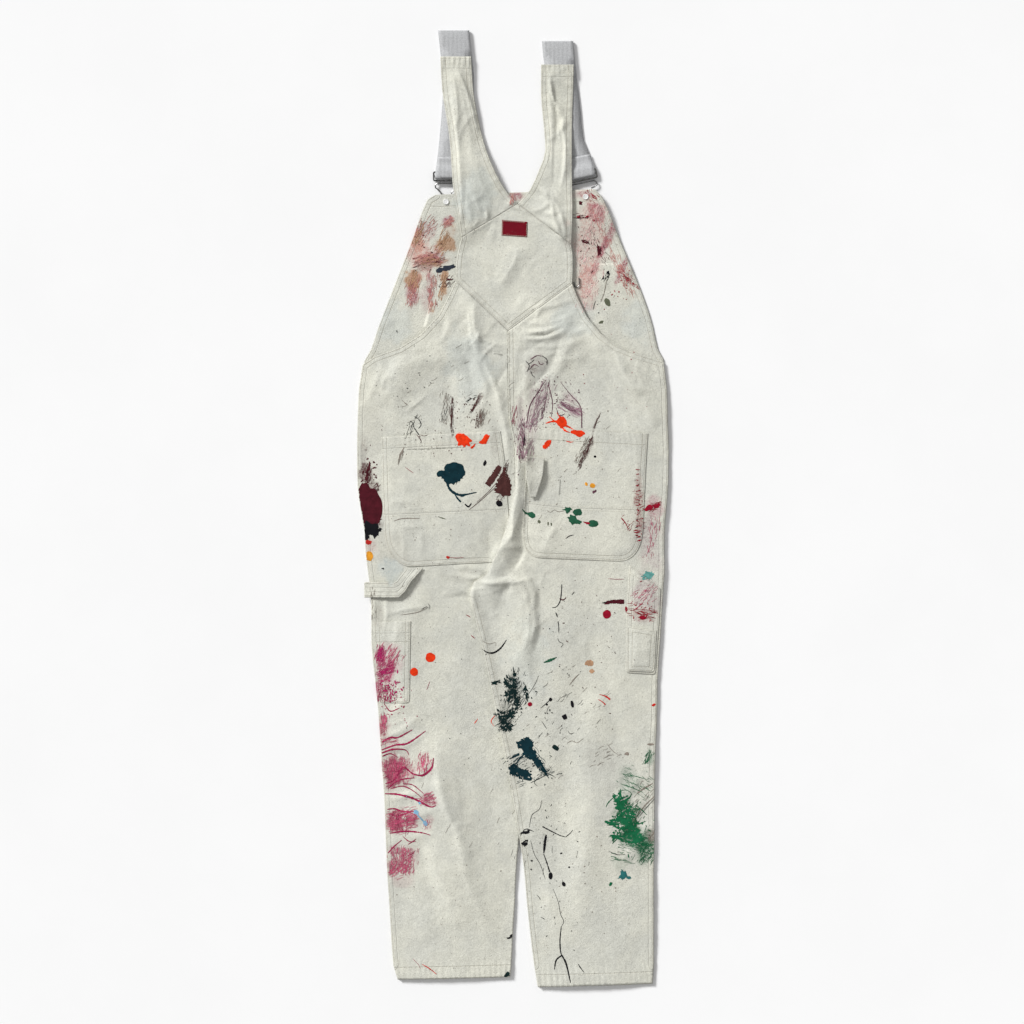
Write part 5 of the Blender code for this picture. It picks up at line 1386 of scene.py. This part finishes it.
class Net:
    """The shader nodes of one material while it is built."""

    def __init__(self, name):
        self.material = bpy.data.materials.new(name)
        self.material.use_nodes = True
        self.nodes = self.material.node_tree.nodes
        self.links = self.material.node_tree.links
        self.shader = self.nodes["Principled BSDF"]
        self.place = self.nodes.new("ShaderNodeTexCoord").outputs["Object"]

    def fill(self, socket, value):
        """Links a socket to another, or sets its number or colour."""
        if hasattr(value, "links"):
            self.links.new(value, socket)
        else:
            socket.default_value = value

    def look(self, **values):
        """Sets the shader's own sockets, with underscores for the spaces in their names."""
        for name, value in values.items():
            self.shader.inputs[name.replace("_", " ")].default_value = value

    def maths(self, operation, *values):
        """A maths step between sockets or numbers."""
        step = self.nodes.new("ShaderNodeMath")
        step.operation = operation
        for socket, value in zip(step.inputs, values):
            self.fill(socket, value)
        return step.outputs[0]

    def blend(self, share, first, second, mode="MIX"):
        """A colour between two others."""
        mixer = self.nodes.new("ShaderNodeMix")
        mixer.data_type = "RGBA"
        mixer.blend_type = mode
        for index, value in ((0, share), (6, first), (7, second)):
            self.fill(mixer.inputs[index], (*value, 1) if isinstance(value, tuple) else value)
        return mixer.outputs[2]

    def texture(self, kind, scale):
        """A texture that stays with the cloth."""
        item = self.nodes.new(f"ShaderNodeTex{kind}")
        item.inputs["Scale"].default_value = scale
        self.links.new(self.place, item.inputs["Vector"])
        return item

    def noise(self, scale, detail, roughness):
        """Cloudy noise from 0 to 1."""
        item = self.texture("Noise", scale)
        item.inputs["Detail"].default_value = detail
        item.inputs["Roughness"].default_value = roughness
        return item.outputs["Fac"]

    def wave(self, scale, distortion):
        """Ribs side by side."""
        item = self.texture("Wave", scale)
        item.inputs["Distortion"].default_value = distortion
        return item

    def ramp(self, value, low, high):
        """0 below low, 1 above high, smooth between them."""
        step = self.nodes.new("ShaderNodeMapRange")
        step.interpolation_type = "SMOOTHSTEP"
        step.inputs["From Min"].default_value = low
        step.inputs["From Max"].default_value = high
        self.links.new(value, step.inputs["Value"])
        return step.outputs["Result"]

    def attribute(self, name):
        """The outputs that give one of the mesh's own values."""
        item = self.nodes.new("ShaderNodeAttribute")
        item.attribute_name = name
        return item.outputs

    def bump(self, height, distance, strength):
        """Fine relief from a height."""
        step = self.nodes.new("ShaderNodeBump")
        step.inputs["Distance"].default_value = distance
        step.inputs["Strength"].default_value = strength
        self.links.new(height, step.inputs["Height"])
        self.links.new(step.outputs[0], self.shader.inputs["Normal"])


def sewing_grooves(net):
    """1 in the fine grooves that rows of stitches press into the cloth, and 0 away from them."""
    grooves = None
    for name, rows in (("seam_d", (EDGE_ROW, TWIN_ROW)), ("hem_d", (HEM_ROW,)), ("row_d", (0.0,))):
        distance = net.attribute(name)["Fac"]
        for row in rows:
            away = net.maths("ABSOLUTE", net.maths("SUBTRACT", distance, row))
            line = net.maths("SUBTRACT", 1.0, net.ramp(away, 0.1, 1.1))
            grooves = line if grooves is None else net.maths("MAXIMUM", grooves, line)
    return grooves


def stained_and_shaded_cloth(net, colour, worn, grooves):
    """Grime and painted shade in the grooves and along the edges, and the paint that has soaked in."""
    # Darker in the stitch grooves and within a few millimetres of the cut edge: part grime, part
    # painted shade
    rim = net.maths("SUBTRACT", 1.0, net.ramp(net.attribute("edge_d")["Fac"], 0.2, 2.4))
    grime_and_shade = net.maths("MAXIMUM", grooves, rim)
    grime_and_shade = net.maths("MULTIPLY", grime_and_shade, net.ramp(worn, 0.36, 0.62))
    colour = net.blend(net.maths("MULTIPLY", grime_and_shade, GRIME_AND_SHADE_SHARE), colour, GRIME_AND_SHADE_COLOUR)
    stain = net.attribute("stain")
    threshold = net.maths("MULTIPLY_ADD", net.noise(220, 6, 0.85), 1.9, -0.32)
    cover = net.ramp(net.maths("SUBTRACT", stain["Alpha"], threshold), -0.34, 0.3)
    wash = net.maths("MULTIPLY", stain["Alpha"], 0.46)
    cover = net.maths("MAXIMUM", net.maths("MULTIPLY", cover, 0.9), wash)
    return net.blend(cover, colour, stain["Color"])


def drill_material(name, light, dark, stained_and_shaded=True):
    """Worn cotton drill: a fine diagonal rib, soft mottling, specks, grime with painted shade in the
    grooves and edges, and soaked-in paint.
    """
    net = Net(name)
    colour = net.blend(net.ramp(net.noise(9, 5, 0.68), 0.36, 0.64), dark, light)
    grain = net.noise(400, 4, 0.8)
    worn = net.noise(110, 5, 0.75)
    cloud = net.noise(34, 4, 0.7)
    shade = net.maths("MULTIPLY_ADD", grain, 0.8, 0.6)
    shade = net.maths("MULTIPLY", shade, net.maths("MULTIPLY_ADD", worn, 0.36, 0.82))
    shade = net.maths("MULTIPLY", shade, net.maths("MULTIPLY_ADD", cloud, 0.22, 0.89))

    chance = net.noise(16, 3, 0.7)
    for size, near, far, low, high in SPECKS:
        speck = net.texture("Voronoi", size).outputs["Distance"]
        dot = net.maths("SUBTRACT", 1.0, net.ramp(speck, near, far))
        dot = net.maths("MULTIPLY", dot, net.ramp(chance, low, high))
        colour = net.blend(net.maths("MULTIPLY", dot, SPECK_SHARE), colour, SPECK_COLOUR)

    rib = net.wave(230, 1.2)
    rib.inputs["Detail"].default_value = 1.0
    rib.bands_direction = "DIAGONAL"
    height = net.maths("MULTIPLY_ADD", rib.outputs["Fac"], 0.1, grain)
    height = net.maths("MULTIPLY_ADD", worn, 0.9, height)
    if stained_and_shaded:
        grooves = sewing_grooves(net)
        colour = stained_and_shaded_cloth(net, colour, worn, grooves)
        height = net.maths("MULTIPLY_ADD", grooves, -0.5, height)
    net.bump(height, 0.0009, 0.8)

    tone = net.nodes.new("ShaderNodeCombineColor")
    for socket in tone.inputs:
        net.links.new(shade, socket)
    colour = net.blend(1.0, colour, tone.outputs[0], "MULTIPLY")
    net.links.new(colour, net.shader.inputs["Base Color"])
    net.look(Roughness=0.95, Specular_IOR_Level=0.15, Sheen_Weight=0.12)
    return net.material


def plain_net(name, colour, grain, size, bump_height=0.0002, **look):
    """The nodes of a paint, thread or metal with a little uneven tone."""
    net = Net(name)
    tone = net.noise(size, 4, 0.65)
    darker = tuple(value * (1 - grain) for value in colour)
    lighter = tuple(min(1.0, value * (1 + grain)) for value in colour)
    mixed = net.blend(net.ramp(tone, 0.3, 0.7), darker, lighter)
    net.links.new(mixed, net.shader.inputs["Base Color"])
    net.look(**look)
    net.bump(tone, bump_height, 0.5)
    return net


def elastic_material():
    """Grey woven elastic with fine ribs along it."""
    net = plain_net("elastic", srgb((180, 181, 182)), 0.14, 500, 0.0006, Roughness=0.9)
    net.links.new(net.wave(150, 0.6).outputs["Fac"], net.nodes["Bump"].inputs["Height"])
    return net.material


def put_attributes(obj, shell):
    """Distances from the sewing and the soaked-in colour, for the cloth's material."""
    x, y = shell.points[:, 0], shell.points[:, 1]
    seam_d, hem_d, row_d = (np.full(x.shape, NO_SEAM) for _ in range(3))
    for seam, path in shell.paths:
        away = line_distance(x, y, thinned(path, 60, 2))[0]
        if is_hem(seam):
            hem_d = np.minimum(hem_d, away)
        else:
            seam_d = np.minimum(seam_d, away)
    if shell.node in PRESSED:
        away, _, side = line_distance(x, y, PRESSED[shell.node])
        row_d = away * side
    layers = {"seam_d": seam_d, "hem_d": hem_d, "row_d": row_d, "edge_d": shell.edge}
    for name, values in layers.items():
        layer = obj.data.attributes.new(name, "FLOAT", "POINT")
        layer.data.foreach_set("value", values.astype(np.float32))
    colour, strength = staining(x, y)
    rgba = np.column_stack((colour, strength)).astype(np.float32)
    layer = obj.data.attributes.new("stain", "FLOAT_COLOR", "POINT")
    layer.data.foreach_set("color", rgba.ravel())


def finish_shell(piece, shell, material):
    """The piece as an object: a thin wall under its creased upper face."""
    obj = new_mesh(f"cloth_{piece.node}", shell.points, shell.faces.tolist())
    obj.data.materials.append(material)
    solid = obj.modifiers.new("Wall", "SOLIDIFY")
    solid.thickness = shell.wall * MM
    solid.offset = -1
    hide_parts(piece.node)
    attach(obj, "root")
    return obj


def stitch_rows(shells):
    """Every stitch, as one mesh for each piece that is sewn."""
    made = {}
    lines = []
    for shell in shells.values():
        for seam, path in shell.paths:
            lines += [(shell.node, [shell.tree], shift(path, shell.ring, row)) for row in seam.rows]
    trees = [shell.tree for shell in shells.values()]
    for row in ROWS:
        lines.append(("across", trees, np.array([(row.x1, row.y1), (row.x2, row.y2)], float)))
    for name, surfaces, line in lines:
        points, faces = made.setdefault(name, ([], []))
        for x, y, turn in even_steps(line, STITCH_PITCH, 0.0 if name == "across" else 3.0):
            z = height_at(surfaces, x, y, -FAR)
            if z == -FAR:
                continue
            first = len(points)
            for along, across, up in STITCH_CORNERS:
                px, py = turned(x, y, along * STITCH_LENGTH, across * STITCH_WIDTH, turn)
                points.append((px, py, z - STITCH_SINK + up * STITCH_HEIGHT))
            faces += [tuple(first + corner for corner in side) for side in STITCH_SIDES]
    thread = plain_net("thread", srgb((198, 194, 178)), 0.18, 160, Roughness=0.85).material
    for name, (points, faces) in made.items():
        if not points:
            continue
        obj = new_mesh(f"stitches_{name}", points, faces)
        obj.data.materials.append(thread)
        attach(obj, "root")


class Film:
    """Paint of one colour, gathered into one mesh that lies on the cloth."""

    def __init__(self, trees):
        self.trees = trees
        self.points = []
        self.faces = []

    def place(self, x, y, edge):
        """Adds a point on the cloth; edge is 0 in the middle of the film and 1 at its rim."""
        z = height_at(self.trees, x, y, -FAR)
        if z == -FAR:
            return None
        self.points.append((x, y, z + PAINT_LIFT + PAINT_CROWN * (1 - edge * edge)))
        return len(self.points) - 1

    def face(self, corners):
        """Adds a face, unless a corner is off the cloth."""
        if None not in corners:
            self.faces.append(corners)

    def blob(self, x, y, rx, ry, turn, jag, seed, spikes=0, spike_reach=1.0, gaps=0.0):
        """A blot with an uneven rim, and for a splash with spikes around it and gaps in it."""
        size = max(rx, ry)
        count = SPLASH_POINTS if spikes else int(min(72, max(10, 5.5 * size)))
        rings = int(min(10, max(2, size / 1.6)))
        rng = np.random.default_rng(seed)
        angles = np.linspace(0, 2 * np.pi, count, endpoint=False)
        reach = np.ones(count)
        for wave in range(2, 14):
            swell = jag * rng.normal() / wave**0.75
            reach += swell * np.sin(wave * angles + rng.uniform(0, 6.3)) * 0.62
        for _ in range(spikes):
            gap = np.abs((angles - rng.uniform(0, 2 * np.pi) + np.pi) % (2 * np.pi) - np.pi)
            length = (spike_reach - 1) * rng.uniform(0.2, 1.1)
            reach += length * np.exp(-gap / rng.uniform(0.07, 0.2))
        reach = np.clip(reach, 0.35, max(1.9, 1.25 * spike_reach))
        cos, sin = math.cos(turn), math.sin(turn)
        middle = self.place(x, y, 0)
        before = [middle] * count
        for ring in range(1, rings + 1):
            share = ring / rings
            current = []
            far = share * (1 + (reach - 1) * share)
            us, vs = rx * far * np.cos(angles), ry * far * np.sin(angles)
            for u, v in zip(us, vs):
                current.append(self.place(x + u * cos - v * sin, y + u * sin + v * cos, share))
            missing = np.zeros(count, bool)
            if gaps:
                rough = noise(0.45 * us, vs, 2.6, seed) + 0.7 * noise(us, vs, 1.3, seed + 1)
                missing = rough > 1.1 - gaps * (0.7 + share)
            for i in range(count):
                j = (i + 1) % count
                if missing[i]:
                    continue
                if ring == 1:
                    self.face((middle, current[i], current[j]))
                else:
                    self.face((before[i], current[i], current[j], before[j]))
            before = current

    def stroke(self, path, start, middle, end, seed):
        """A stroke along a path, with its width at the start, the middle and the end."""
        path = np.array(path, float)
        rng = np.random.default_rng(seed)
        steps = even_steps(curve_through(path), STROKE_STEP)
        total = max(len(steps) - 1, 1)
        before = None
        wobble = rng.normal(0, 0.16, total + 1)
        for index, (x, y, turn) in enumerate(steps):
            t = index / total
            width = start * (1 - t) ** 2 + 4 * middle * t * (1 - t) * 0.62 + end * t * t
            width = 0.5 * max(0.35, width * (1 + wobble[index]))
            nx, ny = -math.sin(turn), math.cos(turn)
            row = [self.place(x + side * width * nx, y + side * width * ny, abs(side))
                   for side in (-1, 0, 1)]
            if before:
                self.face((before[0], before[1], row[1], row[0]))
                self.face((before[1], before[2], row[2], row[1]))
            before = row

    def streaks(self, dry, seed):
        """Fine broken streaks, as a dry brush leaves them."""
        rng = np.random.default_rng(seed)
        turn = math.radians(dry.turn)
        for index in range(dry.count):
            u, v = rng.uniform(-0.5, 0.5), rng.normal(0, 0.24)
            x, y = turned(dry.x, dry.y, u * dry.length, v * dry.width, turn)
            half = 0.5 * min(dry.length, STREAK) * rng.uniform(0.1, 0.5)
            way = turn + rng.normal(0, 0.12)
            dx, dy = half * math.cos(way), half * math.sin(way)
            bend = rng.normal(0, 0.16)
            path = ((x - dx, y - dy), (x - bend * dy, y + bend * dx), (x + dx, y + dy))
            size = dry.size * rng.uniform(0.35, 1.2)
            self.stroke(path, 0.4, size, 0.3, seed + index)


def curve_through(path):
    """A smooth line through the path's points."""
    if len(path) < 3:
        return path
    points = [2 * path[0] - path[1], *path, 2 * path[-1] - path[-2]]
    line = []
    for a, b, c, d in zip(points[:-3], points[1:-2], points[2:-1], points[3:]):
        for t in np.linspace(0, 1, 8, endpoint=False):
            line.append(0.5 * (2 * b + (c - a) * t + (2 * a - 5 * b + 4 * c - d) * t * t
                               + (3 * b - a - 3 * c + d) * t**3))
    return np.array(line + [path[-1]])


def paint_films(trees):
    """All the thick paint, a mesh for each colour."""
    films = {}

    def film_of(row):
        return films.setdefault(row.paint, Film(trees))

    for seed, blob in enumerate(BLOBS):
        turn = math.radians(blob.turn)
        film_of(blob).blob(blob.x, blob.y, blob.rx, blob.ry, turn, blob.jag, seed)
    for seed, splat in enumerate(SPLATS):
        turn = math.radians(splat.turn)
        film_of(splat).blob(splat.x, splat.y, splat.rx, splat.ry, turn, 0.22, seed + 200,
                            splat.spikes, splat.reach, splat.gaps)
    for seed, stroke in enumerate(STROKES):
        film_of(stroke).stroke(stroke.path, stroke.start, stroke.middle, stroke.end, seed + 400)
    for seed, ladder in enumerate(LADDERS):
        rng = np.random.default_rng(seed + 700)
        for place in np.linspace(0, 1, ladder.count):
            x = ladder.x1 + place * (ladder.x2 - ladder.x1) + rng.normal(0, 0.8)
            y = ladder.y1 + place * (ladder.y2 - ladder.y1) + rng.normal(0, 1.0)
            half = 0.5 * ladder.length * rng.uniform(0.5, 1.1)
            path = ((x - half, y + rng.normal(0, 0.7)), (x, y), (x + half, y + rng.normal(0, 0.7)))
            width = ladder.width * rng.uniform(0.7, 1.2)
            film_of(ladder).stroke(path, 0.8, width, 0.8, seed + 3000)
    for seed, dry in enumerate(DRY):
        film_of(dry).streaks(dry, 100 * seed + 5000)
    for seed, spray in enumerate(SPRAYS):
        rng = np.random.default_rng(seed + 900)
        for _ in range(spray.count):
            u, v = rng.normal(0, 0.5, 2)
            turn = math.radians(spray.turn)
            x, y = turned(spray.x, spray.y, u * spray.rx, v * spray.ry, turn)
            size = spray.size * rng.uniform(0.4, 1.0) ** 2 * 1.5
            film_of(spray).blob(x, y, size * rng.uniform(0.8, 2.0), size * rng.uniform(0.5, 0.9),
                                rng.uniform(0, 3.1), 0.25, seed)
    for name, film in films.items():
        obj = new_mesh(f"paint_{name}", film.points, film.faces)
        net = plain_net(f"paint_{name}", srgb(PAINTS[name]), 0.22, 140, 0.0003,
                        Roughness=PAINT_ROUGHNESS, Specular_IOR_Level=PAINT_SPECULAR)
        obj.data.materials.append(net.material)
        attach(obj, "root")


def make_elastic(node, material):
    """The elastic, all round, from its solid."""
    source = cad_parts[node]
    work = bmesh.new()
    work.from_mesh(source.data)
    work.transform(source.matrix_world)
    bmesh.ops.remove_doubles(work, verts=work.verts, dist=1e-6)
    bmesh.ops.subdivide_edges(work, edges=work.edges, cuts=2, use_grid_fill=True)
    mesh = bpy.data.meshes.new(f"band_{node}")
    work.to_mesh(mesh)
    work.free()
    mesh.shade_smooth()
    obj = bpy.data.objects.new(f"band_{node}", mesh)
    bpy.context.scene.collection.objects.link(obj)
    mesh.materials.append(material)
    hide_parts(node)
    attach(obj, "root")


def make_metal():
    """The slides, hooks, buttons, rivets and staple keep their solids; the slides get softer edges."""
    # Painted reflections: the slides, hooks, buttons and staple get a nickel much darker than the
    # metal, a painted dark reflection, and the rivets a near-white copy of it, a painted highlight
    nickel = plain_net("nickel", (0.17, 0.17, 0.165), 0.6, 260, 0.0001, Roughness=0.28, Metallic=1.0)
    highlight_nickel = plain_net("nickel_painted_highlight", (0.9, 0.9, 0.88), 0.08, 260, 0.0001,
                       Roughness=0.34, Metallic=0.3)
    for name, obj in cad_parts.items():
        if name.startswith(("slide", "hook", "button", "rivet", "armhole")):
            obj.data.materials.clear()
            obj.data.materials.append((highlight_nickel if name.startswith("rivet") else nickel).material)
            if name.startswith("slide"):
                edge = obj.modifiers.new("Soft edge", "BEVEL")
                edge.width = 0.0006
                edge.segments = 2


def make_cloth():
    """Every cloth piece from the lowest up, then what lies on them."""
    shells = {}
    for piece in PIECES:
        shells[piece.node] = Shell(piece, shells)
    level_joints(shells)
    drill = drill_material("drill", srgb((212, 211, 198)), srgb((203, 203, 193)))
    label = drill_material("label", srgb((116, 3, 26)), srgb((102, 2, 22)), stained_and_shaded=False)
    for piece in PIECES:
        shell = shells[piece.node]
        material, slot = (label, "label") if piece.node == "label" else (drill, "drill")
        put_attributes(finish_shell(piece, shell, material), shell)
    stitch_rows(shells)
    paint_films([shell.tree for shell in shells.values()])


def make_stage():
    """A pale floor, soft light from above and the camera straight over the garment."""
    bpy.ops.mesh.primitive_plane_add(size=FLOOR_SIZE, location=(0, 0, FLOOR_Z))
    floor = bpy.context.object
    floor.name = "floor"
    floor.data.materials.append(plain_net("floor", (0.9, 0.9, 0.9), 0.01, 3, Roughness=0.9).material)

    world = bpy.data.worlds.new("studio")
    bpy.context.scene.world = world
    world.use_nodes = True
    background = world.node_tree.nodes["Background"]
    background.inputs["Color"].default_value = (1.0, 1.0, 1.0, 1)
    background.inputs["Strength"].default_value = SURROUND
    lamp = bpy.data.lights.new("key", "SUN")
    lamp.energy = KEY_POWER
    lamp.angle = math.radians(KEY_SPREAD)
    key = bpy.data.objects.new("key", lamp)
    key.rotation_euler = (-Vector(KEY_FROM)).to_track_quat("-Z", "Y").to_euler()
    bpy.context.scene.collection.objects.link(key)

    lens = bpy.data.cameras.new("camera")
    lens.lens = CAMERA_LENS
    lens.sensor_width = 36
    camera = bpy.data.objects.new("camera", lens)
    camera.location = (CAMERA_X, CAMERA_Y, CAMERA_HEIGHT)
    bpy.context.scene.collection.objects.link(camera)
    bpy.context.scene.camera = camera
    bpy.context.scene.view_settings.view_transform = "Standard"


def main():
    make_stage()
    make_cloth()
    band = elastic_material()
    for node in ("elastic_left", "elastic_right"):
        make_elastic(node, band)
    make_metal()


main()
